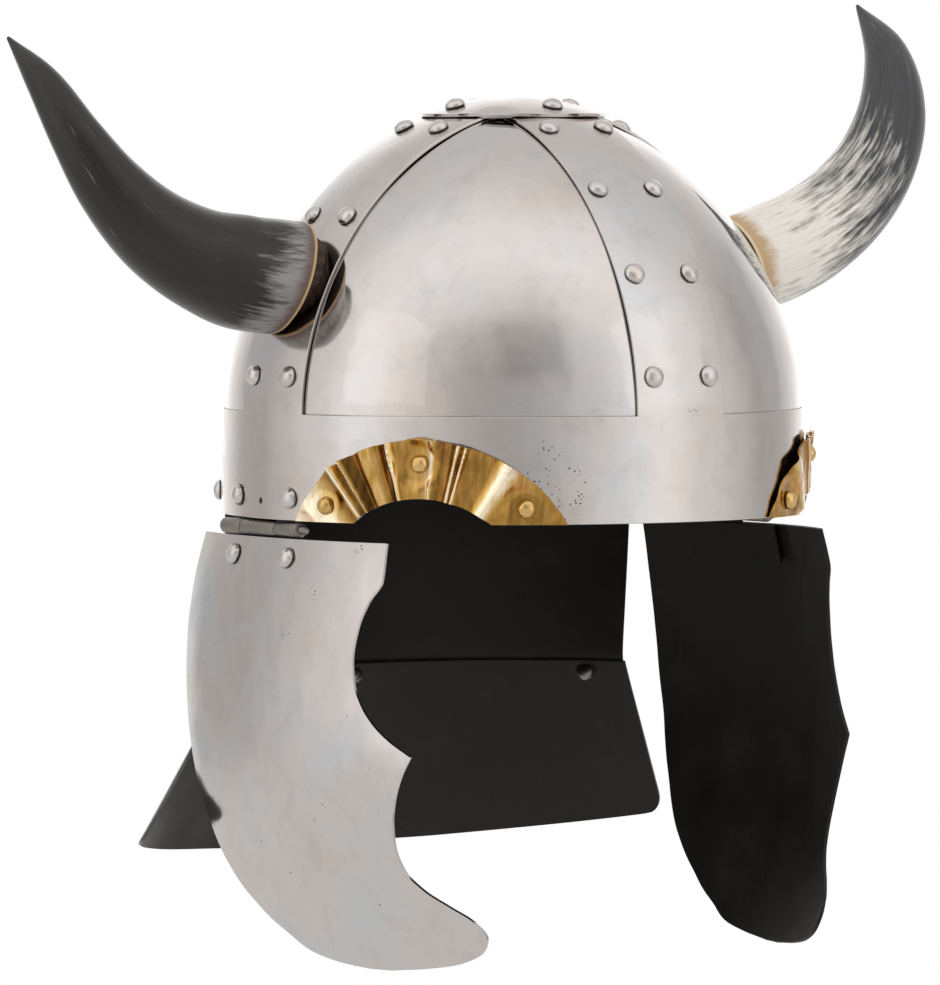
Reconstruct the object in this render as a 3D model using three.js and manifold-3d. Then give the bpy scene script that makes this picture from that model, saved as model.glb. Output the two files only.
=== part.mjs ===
// A riveted steel helmet with two horns, brass brow arcs, hinged cheek guards and a flared neck guard.
//
// Millimetres, +Z up. The wearer faces -Y and the wearer's right is -X. The origin is the middle of the
// rim plane: the lower edge of the brow band lies at z = 0, and the cheek and neck guards hang below it.

import * as THREE from 'three';
import { mergeVertices } from 'three/addons/utils/BufferGeometryUtils.js';
import Module from 'manifold-3d';

const wasm = await Module();
wasm.setup();

// Brow band and dome, outside sizes of the frame.
const HALF_WIDTH = 109;
const HALF_LENGTH = 106.5;
const BAND_HEIGHT = 38.6;
const DOME_HEIGHT = 114;
const DOME_POWER = 1.9;
const FRAME_SHEET = 1.2;
const FRONT_STRAP_HALF = 19.4;
const SIDE_STRAP_HALF = 19;
const FIT_GAP = 0.3;

// Four panels inside the frame's windows.
const PANEL_SHEET = 1;
const PANEL_LAP = 8;

// Round crown plate over the crossing of the straps.
const CROWN_RADIUS = 34.5;
const CROWN_SHEET = 1.2;
const CROWN_EDGE_LIFT = 0.9;
const CROWN_RIVET_RADIUS = 26;

// Brass arcs over the eye arches of the brow band. Both arcs of the outline share one centre.
const ARC_AZIMUTH = THREE.MathUtils.degToRad(52.5);
const ARC_OUTER_RADIUS = 61.5;
const ARC_INNER_RADIUS = 40.4;
const ARC_TOP = 30.3;
const ARC_SHEET = 0.8;
const ARC_SEAT = 0.5;
const ARC_LIFT = 2;
const FLUTE_COUNT = 9;
const FLUTE_DEPTH = 1.5;
const ARCH_RELIEF = 0.6;
const ARC_RIVET_SIDE = 38;
const ARC_RIVET_SIDE_HEIGHT = 6;
const ARC_RIVET_TOP_HEIGHT = 21.7;
const ARC_PRESSED_RADIUS = 7;

// Rivets with low domed heads.
const RIVET_RADIUS = 3.8;
const RIVET_HEIGHT = 2.9;
const RIVET_SHOULDER = 0.75;
const RIVET_SINK = 0.25;
const FRONT_RIVET_SIDE = 12.3;
const SIDE_RIVET_SIDE = 11;
const BROW_RIVET_HEIGHT = 8;

// Horns. Each seat is on a side strap of the dome, cut nearly parallel to the dome there.
const HORN_SEAT_SHARE = 0.433;
const HORN_SEAT_BACK_RIGHT = 0.8;
const HORN_SEAT_FORWARD_LEFT = 7.7;
const HORN_STANDOFF = 2.4;
const HORN_TILT = THREE.MathUtils.degToRad(7);
const HORN_TURN = THREE.MathUtils.degToRad(8);
const HORN_RADIUS_RIGHT = 21;
const HORN_RADIUS_LEFT = 19;
const HORN_REACH_RIGHT = 91.6;
const HORN_REACH_LEFT = 97.6;
const HORN_SWEEP = 50;
const HORN_RISE_RIGHT = 86.9;
const HORN_RISE_LEFT = 102;
const HORN_WALL = 4.5;
const PLUG_DEPTH = 32;
const PLUG_TAPER = 0.8;

// Cheek guards: a dished plate with a nose in front, hung on a butt hinge below the rim.
const CHEEK_SHEET = 1.2;
const CHEEK_DROP = 6.7;
const CHEEK_HEIGHT = 155.2;
const CHEEK_FRONT = 90;
const CHEEK_REAR = 56;
const CHEEK_SET_IN = 1.2;
const CHEEK_LEAN = 14.8;
const CHEEK_BOW = 14.9;
const CHEEK_TURN_IN = 23.5;
const CHEEK_TURN_POWER = 2.3;

// Hinges: a three-knuckle barrel along Y, with leaves inside the band and inside the cheek plate.
const HINGE_SET_IN = 3;
const HINGE_DROP = 3.4;
const KNUCKLE_RADIUS = 2.9;
const PIN_RADIUS = 1.5;
const HINGE_CENTRE_Y = 5;
const HINGE_REAR_Y = 32.5;
const KNUCKLE_REAR = 12.7;
const KNUCKLE_MIDDLE = 22.4;
const KNUCKLE_FRONT = 14.2;
const PIN_PROUD = 3.5;
const LEAF_SHEET = 1.1;
const LEAF_CLEARANCE = 0.7;
const LEAF_LENGTH = 56;
const LEAF_RISE = 18;
const LEAF_FALL = 14.2;
const HINGE_RIVET_SPAN = 35.5;
const CHEEK_RIVET_DROP = 13.5;

// Neck guard: a plate inside the band that ends in a flared flange, and a flared lame riveted inside it.
const NECK_SHEET = 1.2;
const NECK_RIM_ANGLE = THREE.MathUtils.degToRad(59.8);
const NECK_FOLD_ANGLE = THREE.MathUtils.degToRad(58.1);
const LAME_TOP_ANGLE = THREE.MathUtils.degToRad(58.8);
const LAME_BOTTOM_ANGLE = THREE.MathUtils.degToRad(60.2);
const NECK_INSIDE_BAND = 22;
const NECK_FOLD = 60;
const NECK_FLANGE = 13;
const NECK_BOTTOM = 122.8;
const NECK_DIP = 11;
const NECK_FLARE = 34;
const NECK_CORNER = 9;
const LAME_RIVET_ANGLE = THREE.MathUtils.degToRad(50);

// Facets: sides round the dome, rows up it, and sides of small round pieces.
const DOME_SIDES = 48;
const DOME_ROWS = 9;
const CROWN_ROWS = 4;
const ARCH_SIDES = 32;
const ARC_COLUMNS = FLUTE_COUNT * 3;
const CHEEK_COLUMNS = 6;
const NECK_COLUMNS = 16;
const ROUND_SIDES = 12;
const RIVET_SIDES = 8;
const HORN_SIDES = 16;

// Horn sections from the seat to the tip, as shares of the reach, sweep, rise and base radius.
const HORN_SECTIONS = [
  { out: 0.067, back: 0.024, riseRight: 0, riseLeft: 0.03, girthRight: 1, girthLeft: 1 },
  { out: 0.224, back: 0.07, riseRight: 0.02, riseLeft: 0.07, girthRight: 1, girthLeft: 1.01 },
  { out: 0.422, back: 0.116, riseRight: 0.083, riseLeft: 0.139, girthRight: 0.88, girthLeft: 0.97 },
  { out: 0.619, back: 0.16, riseRight: 0.201, riseLeft: 0.251, girthRight: 0.75, girthLeft: 0.91 },
  { out: 0.787, back: 0.218, riseRight: 0.373, riseLeft: 0.406, girthRight: 0.61, girthLeft: 0.82 },
  { out: 0.908, back: 0.332, riseRight: 0.582, riseLeft: 0.597, girthRight: 0.46, girthLeft: 0.69 },
  { out: 0.977, back: 0.566, riseRight: 0.804, riseLeft: 0.804, girthRight: 0.31, girthLeft: 0.46 },
  { out: 1, back: 1, riseRight: 1, riseLeft: 1, girthRight: 0.03, girthLeft: 0.03 },
];

// Cheek guard sections from the top edge down: depth as a share of the height, and the front and rear
// edges as shares of the front and rear reach. The row with the forward point is a corner.
const CHEEK_SECTIONS = [
  { down: 0, front: 0.672, rear: 0.973 },
  { down: 0.087, front: 0.687, rear: 0.991 },
  { down: 0.132, front: 0.644, rear: 0.998 },
  { down: 0.19, front: 0.607, rear: 1 },
  { down: 0.261, front: 0.592, rear: 0.998 },
  { down: 0.319, front: 0.603, rear: 0.989 },
  { down: 0.37, front: 0.636, rear: 0.979 },
  { down: 0.415, front: 0.689, rear: 0.963 },
  { down: 0.454, front: 0.761, rear: 0.943 },
  { down: 0.489, front: 0.85, rear: 0.925 },
  { down: 0.538, front: 0.802, rear: 0.902 },
  { down: 0.596, front: 0.762, rear: 0.863 },
  { down: 0.654, front: 0.738, rear: 0.807 },
  { down: 0.705, front: 0.731, rear: 0.754 },
  { down: 0.757, front: 0.75, rear: 0.679 },
  { down: 0.802, front: 0.813, rear: 0.582 },
  { down: 0.838, front: 0.9, rear: 0.482 },
  { down: 0.87, front: 0.974, rear: 0.37 },
  { down: 0.905, front: 1.007, rear: 0.241 },
  { down: 0.937, front: 0.983, rear: 0.08 },
  { down: 0.973, front: 0.867, rear: -0.116 },
  { down: 0.991, front: 0.7, rear: -0.39 },
  { down: 1, front: 0.533, rear: -0.68 },
];

// Rivet rows on the straps, as shares of the dome's height above the band.
const FRONT_RIVET_ROWS = [0.907, 0.714, 0.446, 0.122];
const SIDE_RIVET_ROWS = [0.907, 0.626, 0.118];

// Rivets that hold the neck guard to the band, as shares of its half angle.
const NECK_RIVET_SHARES = [-0.92, -0.46, 0, 0.46, 0.92];

// Places worked out from the sizes above: the horn seat, the cheek plate's face and the hinge axis.
const HORN_SEAT_HEIGHT = BAND_HEIGHT + DOME_HEIGHT * HORN_SEAT_SHARE;
const CHEEK_TOP_X = HALF_WIDTH - CHEEK_SET_IN;
const HINGE_X = HALF_WIDTH - HINGE_SET_IN;

const RIGHT = -1;
const LEFT = 1;
const SIDE_NAMES = new Map([[RIGHT, 'right'], [LEFT, 'left']]);

const FINISHES = {
  steel: { color: 0xb9b4b1, roughness: 0.28, metalness: 1 },
  blackened: { color: 0x24211f, roughness: 0.6, metalness: 0.4 },
  brass: { color: 0xa8813c, roughness: 0.3, metalness: 1 },
  darkHorn: { color: 0x2d2b2a, roughness: 0.3, metalness: 0 },
  paleHorn: { color: 0xbdb29c, roughness: 0.35, metalness: 0 },
  plug: { color: 0x7a5c3c, roughness: 0.7, metalness: 0 },
};

const helmet = new THREE.Group();

function addMesh(group, name, geometry, finish) {
  const mesh = new THREE.Mesh(geometry, new THREE.MeshStandardMaterial(FINISHES[finish]));
  mesh.name = name;
  group.add(mesh);
  mesh.updateMatrixWorld(true);
  return mesh;
}

// Merges the shared corners, drops triangles that collapsed to a line and turns the faces outwards.
function closed(geometry) {
  const bare = geometry.clone();
  bare.deleteAttribute('normal');
  bare.deleteAttribute('uv');
  const merged = mergeVertices(bare, 1e-4);
  const corner = [new THREE.Vector3(), new THREE.Vector3(), new THREE.Vector3()];
  const triangles = [];
  let volume = 0;
  for (let i = 0; i < merged.index.count; i += 3) {
    const ids = [0, 1, 2].map((k) => merged.index.getX(i + k));
    if (new Set(ids).size < 3) continue;
    ids.forEach((id, k) => corner[k].fromBufferAttribute(merged.attributes.position, id));
    volume += corner[0].dot(corner[1].cross(corner[2]));
    triangles.push(ids);
  }
  const order = volume < 0 ? [0, 2, 1] : [0, 1, 2];
  merged.setIndex(triangles.flatMap((ids) => order.map((k) => ids[k])));
  return merged;
}

function toSolid(geometry) {
  const merged = closed(geometry);
  return new wasm.Manifold(new wasm.Mesh({
    numProp: 3,
    vertProperties: new Float32Array(merged.attributes.position.array),
    triVerts: new Uint32Array(merged.index.array),
  }));
}

function toGeometry(solid) {
  const mesh = solid.getMesh();
  const geometry = new THREE.BufferGeometry();
  geometry.setAttribute('position', new THREE.BufferAttribute(mesh.vertProperties, 3));
  geometry.setIndex(new THREE.BufferAttribute(mesh.triVerts, 1));
  return geometry;
}

function box(min, max) {
  const size = new THREE.Vector3().subVectors(max, min);
  const middle = new THREE.Vector3().addVectors(min, max).multiplyScalar(0.5);
  return new THREE.BoxGeometry(size.x, size.y, size.z).translate(middle.x, middle.y, middle.z);
}

// A sheet of metal: a thin box whose corners are placed by a function of the two directions in the
// sheet and of the depth, which runs from 0 on the inner face to 1 on the outer face.
function sheet(columns, rows, place) {
  const geometry = new THREE.BoxGeometry(1, 1, 1, columns, rows, 1);
  const position = geometry.attributes.position;
  const point = new THREE.Vector3();
  for (let i = 0; i < position.count; i += 1) {
    point.fromBufferAttribute(position, i).addScalar(0.5);
    const placed = place(point.x, point.y, point.z);
    position.setXYZ(i, placed.x, placed.y, placed.z);
  }
  return closed(geometry);
}

// The dome's outline from the rim to the apex, moved outwards by an offset.
function domeOutline(offset) {
  const points = [[0, 0], [0, BAND_HEIGHT]].map(([, z]) => new THREE.Vector2(HALF_WIDTH + offset, z));
  for (let row = 1; row <= DOME_ROWS; row += 1) {
    const angle = (row / DOME_ROWS) * Math.PI * 0.5;
    const radius = (HALF_WIDTH + offset) * Math.max(Math.cos(angle), 0) ** (2 / DOME_POWER);
    const height = (DOME_HEIGHT + offset) * Math.sin(angle) ** (2 / DOME_POWER);
    points.push(new THREE.Vector2(row === DOME_ROWS ? 0 : radius, BAND_HEIGHT + height));
  }
  return points;
}

// Turns an outline about the vertical axis and makes the round oval of the head.
function turned(outline, sides) {
  const geometry = new THREE.LatheGeometry(outline, sides);
  return geometry.rotateX(Math.PI / 2).scale(1, HALF_LENGTH / HALF_WIDTH, 1);
}

function shell(outer, inner) {
  const outline = [...domeOutline(outer).reverse(), ...domeOutline(inner)];
  return toSolid(turned(outline, DOME_SIDES));
}

function domeBlock(offset) {
  const outline = [...domeOutline(offset).reverse(), new THREE.Vector2(0, 0)];
  return toSolid(turned(outline, DOME_SIDES));
}

// A point of the band or dome at a height, with the share of its plan size that is left there.
function planShare(height) {
  if (height <= BAND_HEIGHT) return 1;
  const rise = Math.min((height - BAND_HEIGHT) / DOME_HEIGHT, 1);
  return (1 - rise ** DOME_POWER) ** (1 / DOME_POWER);
}

// The band at an angle from the front, positive to the wearer's left, moved outwards by an offset.
function bandPoint(azimuth, height, offset) {
  const x = (HALF_WIDTH + offset) * Math.sin(azimuth);
  const y = -(HALF_LENGTH + offset) * Math.cos(azimuth);
  return new THREE.Vector3(x, y, height);
}

function archCutter(side) {
  const radius = ARC_INNER_RADIUS + ARCH_RELIEF;
  const length = FRAME_SHEET * 30;
  const cylinder = new THREE.CylinderGeometry(radius, radius, length, ARCH_SIDES);
  const middle = bandPoint(side * ARC_AZIMUTH, ARC_TOP - ARC_OUTER_RADIUS, 0);
  cylinder.rotateZ(side * ARC_AZIMUTH).translate(middle.x, middle.y, middle.z);
  return toSolid(cylinder);
}

function windowBox(sideX, sideY, lap) {
  const far = HALF_WIDTH * 2;
  const x = sideX * (FRONT_STRAP_HALF - lap);
  const y = sideY * (SIDE_STRAP_HALF - lap);
  const min = new THREE.Vector3(Math.min(x, sideX * far), Math.min(y, sideY * far), BAND_HEIGHT - lap);
  const max = new THREE.Vector3(Math.max(x, sideX * far), Math.max(y, sideY * far), far * 2);
  return toSolid(box(min, max));
}

function rivetGeometry() {
  const shoulder = RIVET_RADIUS * RIVET_SHOULDER;
  const shoulderHeight = RIVET_HEIGHT * Math.sqrt(1 - RIVET_SHOULDER ** 2);
  const outline = [
    new THREE.Vector2(0, RIVET_HEIGHT),
    new THREE.Vector2(shoulder, shoulderHeight),
    new THREE.Vector2(RIVET_RADIUS, 0),
    new THREE.Vector2(0, 0),
  ];
  return closed(new THREE.LatheGeometry(outline, RIVET_SIDES).rotateX(Math.PI / 2));
}

// Finds where a rivet lies on a mesh: the highest of the points under its head, on the facet's normal.
const raycaster = new THREE.Raycaster();

function rivetSeat(target, from, direction) {
  raycaster.set(from, direction);
  const hit = raycaster.intersectObject(target)[0];
  const normal = hit.face.normal.clone();
  const turn = new THREE.Quaternion().setFromUnitVectors(new THREE.Vector3(0, 0, 1), normal);
  let lift = 0;
  for (let k = 0; k < RIVET_SIDES; k += 1) {
    const angle = (k / RIVET_SIDES) * Math.PI * 2;
    const rim = new THREE.Vector3(Math.cos(angle), Math.sin(angle), 0).multiplyScalar(RIVET_RADIUS);
    const start = hit.point.clone().add(rim.applyQuaternion(turn));
    raycaster.set(start.addScaledVector(normal, RIVET_RADIUS * 3), normal.clone().negate());
    const under = raycaster.intersectObject(target)[0];
    if (under) lift = Math.max(lift, RIVET_RADIUS * 3 - under.distance);
  }
  return { point: hit.point, normal, turn, lift };
}

function addRivet(group, name, target, from, direction, finish) {
  const seat = rivetSeat(target, from, direction);
  const mesh = addMesh(group, name, rivetGeometry(), finish);
  mesh.position.copy(seat.point).addScaledVector(seat.normal, seat.lift + FIT_GAP);
  mesh.quaternion.copy(seat.turn);
  return mesh;
}

// Joins a rivet head to the piece that carries it.
function withRivet(solid, target, from, direction) {
  const seat = rivetSeat(target, from, direction);
  const place = seat.point.addScaledVector(seat.normal, seat.lift - RIVET_SINK);
  const head = rivetGeometry().applyQuaternion(seat.turn).translate(place.x, place.y, place.z);
  return solid.add(toSolid(head));
}

function hornAxis(side) {
  const right = side === RIGHT;
  const width = planShare(HORN_SEAT_HEIGHT);
  const back = right ? HORN_SEAT_BACK_RIGHT : -HORN_SEAT_FORWARD_LEFT;
  const across = Math.sqrt(width ** 2 - (back / HALF_LENGTH) ** 2);
  const seat = new THREE.Vector3(side * HALF_WIDTH * across, back, HORN_SEAT_HEIGHT);
  const reach = right ? HORN_REACH_RIGHT : HORN_REACH_LEFT;
  const rise = right ? HORN_RISE_RIGHT : HORN_RISE_LEFT;
  const points = HORN_SECTIONS.map((section) => new THREE.Vector3(
    side * section.out * reach,
    section.back * HORN_SWEEP,
    (right ? section.riseRight : section.riseLeft) * rise,
  ).add(seat));
  const inward = new THREE.Vector3().subVectors(points[0], points[1]);
  points.unshift(points[0].clone().addScaledVector(inward, 1.2));
  return { seat, points };
}

// The plane that cuts the horn's foot: nearly parallel to the dome, with its lower rear edge nearest.
function hornFoot(side, seat) {
  const normal = new THREE.Vector3(
    seat.x / HALF_WIDTH ** 2,
    seat.y / HALF_LENGTH ** 2,
    (seat.z - BAND_HEIGHT) / DOME_HEIGHT ** 2,
  ).normalize();
  const tilted = normal.clone()
    .applyAxisAngle(new THREE.Vector3(0, 1, 0), side * HORN_TILT)
    .applyAxisAngle(new THREE.Vector3(0, 0, 1), side * HORN_TURN);
  const turn = new THREE.Quaternion().setFromUnitVectors(new THREE.Vector3(0, 0, 1), tilted);
  const origin = seat.clone().addScaledVector(normal, HORN_STANDOFF);
  return { origin, turn };
}

function hornGeometry(side, points) {
  const right = side === RIGHT;
  const baseRadius = right ? HORN_RADIUS_RIGHT : HORN_RADIUS_LEFT;
  const girths = HORN_SECTIONS.map((section) => (right ? section.girthRight : section.girthLeft));
  girths.unshift(girths[0]);
  const curve = new THREE.CatmullRomCurve3(points, false, 'centripetal');
  const rows = (points.length - 1) * 2;
  const outline = [new THREE.Vector2(0, 0)];
  for (let row = 0; row <= rows; row += 1) {
    outline.push(new THREE.Vector2(1, row / rows));
  }
  outline.push(new THREE.Vector2(0, 1));
  const geometry = new THREE.LatheGeometry(outline, HORN_SIDES);
  const position = geometry.attributes.position;
  const across = new THREE.Vector3();
  const over = new THREE.Vector3();
  for (let i = 0; i < position.count; i += 1) {
    const t = THREE.MathUtils.clamp(position.getY(i), 0, 1);
    const centre = curve.getPoint(t);
    const tangent = curve.getTangent(t);
    across.crossVectors(tangent, new THREE.Vector3(0, 1, 0)).normalize();
    over.crossVectors(across, tangent);
    const step = t * (girths.length - 1);
    const low = Math.min(Math.floor(step), girths.length - 2);
    const radius = baseRadius * THREE.MathUtils.lerp(girths[low], girths[low + 1], step - low);
    centre.addScaledVector(across, radius * position.getX(i));
    centre.addScaledVector(over, radius * position.getZ(i));
    position.setXYZ(i, centre.x, centre.y, centre.z);
  }
  return geometry;
}

// A tapered round block along the horn's first stretch, from behind the foot into the horn.
function plugBlock(side, seat, points, clearance) {
  const baseRadius = side === RIGHT ? HORN_RADIUS_RIGHT : HORN_RADIUS_LEFT;
  const radius = baseRadius - HORN_WALL - clearance;
  const depth = PLUG_DEPTH * 2;
  const direction = new THREE.Vector3().subVectors(points[2], points[1]).normalize();
  const length = depth - clearance * 2;
  const geometry = new THREE.CylinderGeometry(radius * PLUG_TAPER, radius, length, ROUND_SIDES);
  const turn = new THREE.Quaternion().setFromUnitVectors(new THREE.Vector3(0, 1, 0), direction);
  geometry.applyQuaternion(turn);
  const middle = seat.clone().addScaledVector(direction, -clearance * 0.5);
  return toSolid(geometry.translate(middle.x, middle.y, middle.z));
}

function addHorn(side) {
  const name = SIDE_NAMES.get(side);
  const { seat, points } = hornAxis(side);
  const foot = hornFoot(side, seat);
  const reach = HORN_REACH_LEFT;
  const below = box(new THREE.Vector3(-reach, -reach, -reach), new THREE.Vector3(reach, reach, 0));
  below.applyQuaternion(foot.turn).translate(foot.origin.x, foot.origin.y, foot.origin.z);
  const horn = toSolid(hornGeometry(side, points))
    .subtract(toSolid(below))
    .subtract(plugBlock(side, seat, points, 0));
  const plug = plugBlock(side, seat, points, FIT_GAP).subtract(domeBlock(FIT_GAP));
  addMesh(helmet, `horn_${name}`, toGeometry(horn), side === RIGHT ? 'darkHorn' : 'paleHorn');
  addMesh(helmet, `horn_plug_${name}`, toGeometry(plug), 'plug');
}

// A brass arc in its own flat frame: the angle about the arcs' centre and the distance from it.
function arcPoint(side, across, outward, depth) {
  const centre = ARC_TOP - ARC_OUTER_RADIUS;
  const radius = THREE.MathUtils.lerp(ARC_INNER_RADIUS, ARC_OUTER_RADIUS, outward);
  const widest = Math.acos(-centre / radius);
  const angle = (across * 2 - 1) * widest;
  const along = radius * Math.sin(angle);
  const height = centre + radius * Math.cos(angle);
  const nearest = Math.min(
    Math.hypot(Math.abs(along) - ARC_RIVET_SIDE, height - ARC_RIVET_SIDE_HEIGHT),
    Math.hypot(along, height - ARC_RIVET_TOP_HEIGHT),
  );
  const free = THREE.MathUtils.smoothstep(nearest, ARC_PRESSED_RADIUS, ARC_PRESSED_RADIUS * 2);
  const flute = Math.cos((angle / Math.acos(-centre / ARC_OUTER_RADIUS)) * Math.PI * FLUTE_COUNT);
  const proud = ARC_SEAT + free * (ARC_LIFT + FLUTE_DEPTH * flute * (0.4 + 0.6 * outward));
  const azimuth = side * ARC_AZIMUTH + (2 * along) / (HALF_WIDTH + HALF_LENGTH);
  return bandPoint(azimuth, height, proud + depth * ARC_SHEET);
}

function addBrowArc(side) {
  const name = SIDE_NAMES.get(side);
  const arc = sheet(ARC_COLUMNS, 3, (u, v, w) => arcPoint(side, u, v, w));
  const mesh = addMesh(helmet, `brow_arc_${name}`, arc, 'brass');
  const seats = [
    { along: -ARC_RIVET_SIDE, height: ARC_RIVET_SIDE_HEIGHT },
    { along: 0, height: ARC_RIVET_TOP_HEIGHT },
    { along: ARC_RIVET_SIDE, height: ARC_RIVET_SIDE_HEIGHT },
  ];
  seats.forEach((seat, index) => {
    const azimuth = side * ARC_AZIMUTH + (2 * seat.along) / (HALF_WIDTH + HALF_LENGTH);
    const from = bandPoint(azimuth, seat.height, HALF_WIDTH);
    const direction = new THREE.Vector3(-from.x, -from.y, 0).normalize();
    addRivet(helmet, `brow_arc_rivet_${name}_${index + 1}`, mesh, from, direction, 'brass');
  });
}

// The cheek plate's face at a length and height: bowed outwards, leaning in below, turned in at its ends.
function cheekX(y, height) {
  const down = (-height - CHEEK_DROP) / CHEEK_HEIGHT;
  const turn = CHEEK_TURN_IN * (Math.abs(y) / CHEEK_FRONT) ** CHEEK_TURN_POWER;
  return CHEEK_TOP_X - CHEEK_LEAN * down + 4 * CHEEK_BOW * down * (1 - down) - turn;
}

function cheekPoint(side, y, height, inward) {
  const step = 0.5;
  const slopeY = (cheekX(y + step, height) - cheekX(y - step, height)) / (2 * step);
  const slopeZ = (cheekX(y, height + step) - cheekX(y, height - step)) / (2 * step);
  const normal = new THREE.Vector3(1, -slopeY, -slopeZ).normalize();
  const point = new THREE.Vector3(cheekX(y, height), y, height).addScaledVector(normal, -inward);
  point.x *= side;
  return point;
}

function cheekPlate(side) {
  const rows = CHEEK_SECTIONS.length - 1;
  return sheet(CHEEK_COLUMNS, rows, (u, v, w) => {
    const section = CHEEK_SECTIONS[Math.round(v * rows)];
    const y = THREE.MathUtils.lerp(-section.front * CHEEK_FRONT, section.rear * CHEEK_REAR, u);
    const height = -CHEEK_DROP - section.down * CHEEK_HEIGHT;
    return cheekPoint(side, y, height, (1 - w) * CHEEK_SHEET);
  });
}

function knuckle(side, rear, front, radius) {
  const cylinder = new THREE.CylinderGeometry(radius, radius, rear - front, ROUND_SIDES);
  return toSolid(cylinder.translate(side * HINGE_X, (rear + front) / 2, -HINGE_DROP));
}

// The upper leaf follows the inside of the band; its lugs reach down and across to the barrel.
function upperLeaf(side, rear, front, bottom, top) {
  const inner = -FRAME_SHEET - FIT_GAP;
  return toSolid(sheet(6, 1, (u, v, w) => {
    const y = THREE.MathUtils.lerp(front, rear, u);
    const offset = inner - (1 - w) * LEAF_SHEET;
    const x = (HALF_WIDTH + offset) * Math.sqrt(1 - (y / (HALF_LENGTH + offset)) ** 2);
    return new THREE.Vector3(side * x, y, THREE.MathUtils.lerp(bottom, top, v));
  }));
}

function lowerLeaf(side, rear, front, bottom, top) {
  return toSolid(sheet(6, 2, (u, v, w) => {
    const y = THREE.MathUtils.lerp(front, rear, u);
    const height = THREE.MathUtils.lerp(bottom, top, v);
    return cheekPoint(side, y, height, CHEEK_SHEET + LEAF_CLEARANCE + (1 - w) * LEAF_SHEET);
  }));
}

function lug(side, rear, front, innerX, bottom, top) {
  const x = [side * innerX, side * (HINGE_X - LEAF_CLEARANCE)];
  const min = new THREE.Vector3(Math.min(...x), front, bottom);
  const max = new THREE.Vector3(Math.max(...x), rear, top);
  return toSolid(box(min, max));
}

// The barrel's stations along Y, from the rear end to the pin's front end.
function hingeStations() {
  const middleRear = HINGE_REAR_Y - KNUCKLE_REAR;
  const middleFront = middleRear - KNUCKLE_MIDDLE;
  const front = middleFront - KNUCKLE_FRONT;
  return { rear: HINGE_REAR_Y, middleRear, middleFront, front, pinFront: front - PIN_PROUD };
}

function addHinge(side, cheek) {
  const name = SIDE_NAMES.get(side);
  const at = hingeStations();
  const half = LEAF_LENGTH / 2;
  const leafRear = HINGE_CENTRE_Y + half;
  const leafFront = HINGE_CENTRE_Y - half;
  const halfGap = FIT_GAP / 2;
  const outer = [[at.rear, at.middleRear + halfGap], [at.middleFront - halfGap, at.front]];
  const bore = knuckle(side, at.rear + 1, at.pinFront - 1, PIN_RADIUS + FIT_GAP);

  let upper = upperLeaf(side, leafRear, leafFront, HINGE_DROP / 4, LEAF_RISE);
  for (const [rear, front] of outer) {
    const lugTop = -FIT_GAP * 1.2;
    const lugBottom = -HINGE_DROP - PIN_RADIUS;
    const reachY = Math.max(Math.abs(rear), Math.abs(front));
    const bandX = HALF_WIDTH * Math.sqrt(1 - (reachY / HALF_LENGTH) ** 2);
    const innerX = bandX - FRAME_SHEET - FIT_GAP - LEAF_SHEET;
    upper = upper
      .add(upperLeaf(side, Math.min(rear, leafRear), front, -HINGE_DROP / 2, HINGE_DROP / 2))
      .add(lug(side, rear, front, innerX, lugBottom, lugTop))
      .add(knuckle(side, rear, front, KNUCKLE_RADIUS));
  }
  addMesh(helmet, `hinge_upper_${name}`, toGeometry(upper.subtract(bore)), 'blackened');

  const pin = knuckle(side, at.rear, at.pinFront, PIN_RADIUS);
  addMesh(helmet, `hinge_pin_${name}`, toGeometry(pin), 'steel');

  const rear = at.middleRear - halfGap;
  const front = at.middleFront + halfGap;
  const leafTop = -HINGE_DROP - KNUCKLE_RADIUS - FIT_GAP * 1.5;
  const lower = lowerLeaf(side, leafRear, leafFront, leafTop - LEAF_FALL, leafTop)
    .add(lug(side, rear, front, HINGE_X - KNUCKLE_RADIUS * 0.7, leafTop - LEAF_SHEET, -HINGE_DROP))
    .add(knuckle(side, rear, front, KNUCKLE_RADIUS))
    .subtract(bore);
  addMesh(cheek, `hinge_lower_${name}`, toGeometry(lower), 'blackened');
}

function addCheek(side, frameMesh) {
  const name = SIDE_NAMES.get(side);
  const cheek = new THREE.Group();
  helmet.add(cheek);
  const plate = addMesh(cheek, `cheek_plate_${name}`, cheekPlate(side), 'steel');
  addHinge(side, cheek);
  const inward = new THREE.Vector3(-side, 0, 0);
  for (const [index, step] of [-0.5, 0.5].entries()) {
    const y = HINGE_CENTRE_Y + step * HINGE_RIVET_SPAN;
    const above = new THREE.Vector3(side * HALF_WIDTH * 2, y, BROW_RIVET_HEIGHT);
    const below = new THREE.Vector3(side * HALF_WIDTH * 2, y, -CHEEK_RIVET_DROP);
    addRivet(helmet, `hinge_rivet_${name}_${index + 1}`, frameMesh, above, inward, 'steel');
    addRivet(cheek, `cheek_rivet_${name}_${index + 1}`, plate, below, inward, 'steel');
  }
}

// The neck guard at an angle from the back: upright inside the band, flared below the fold.
function neckPoint(angle, height, inward) {
  const slope = NECK_FLARE / (NECK_BOTTOM - NECK_FOLD);
  const flare = Math.max(-height - NECK_FOLD, 0) * slope;
  const thicken = height < -NECK_FOLD ? Math.hypot(1, slope) : 1;
  const offset = flare - FRAME_SHEET - FIT_GAP - inward * thicken;
  return bandPoint(Math.PI - angle, height, offset);
}

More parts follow.
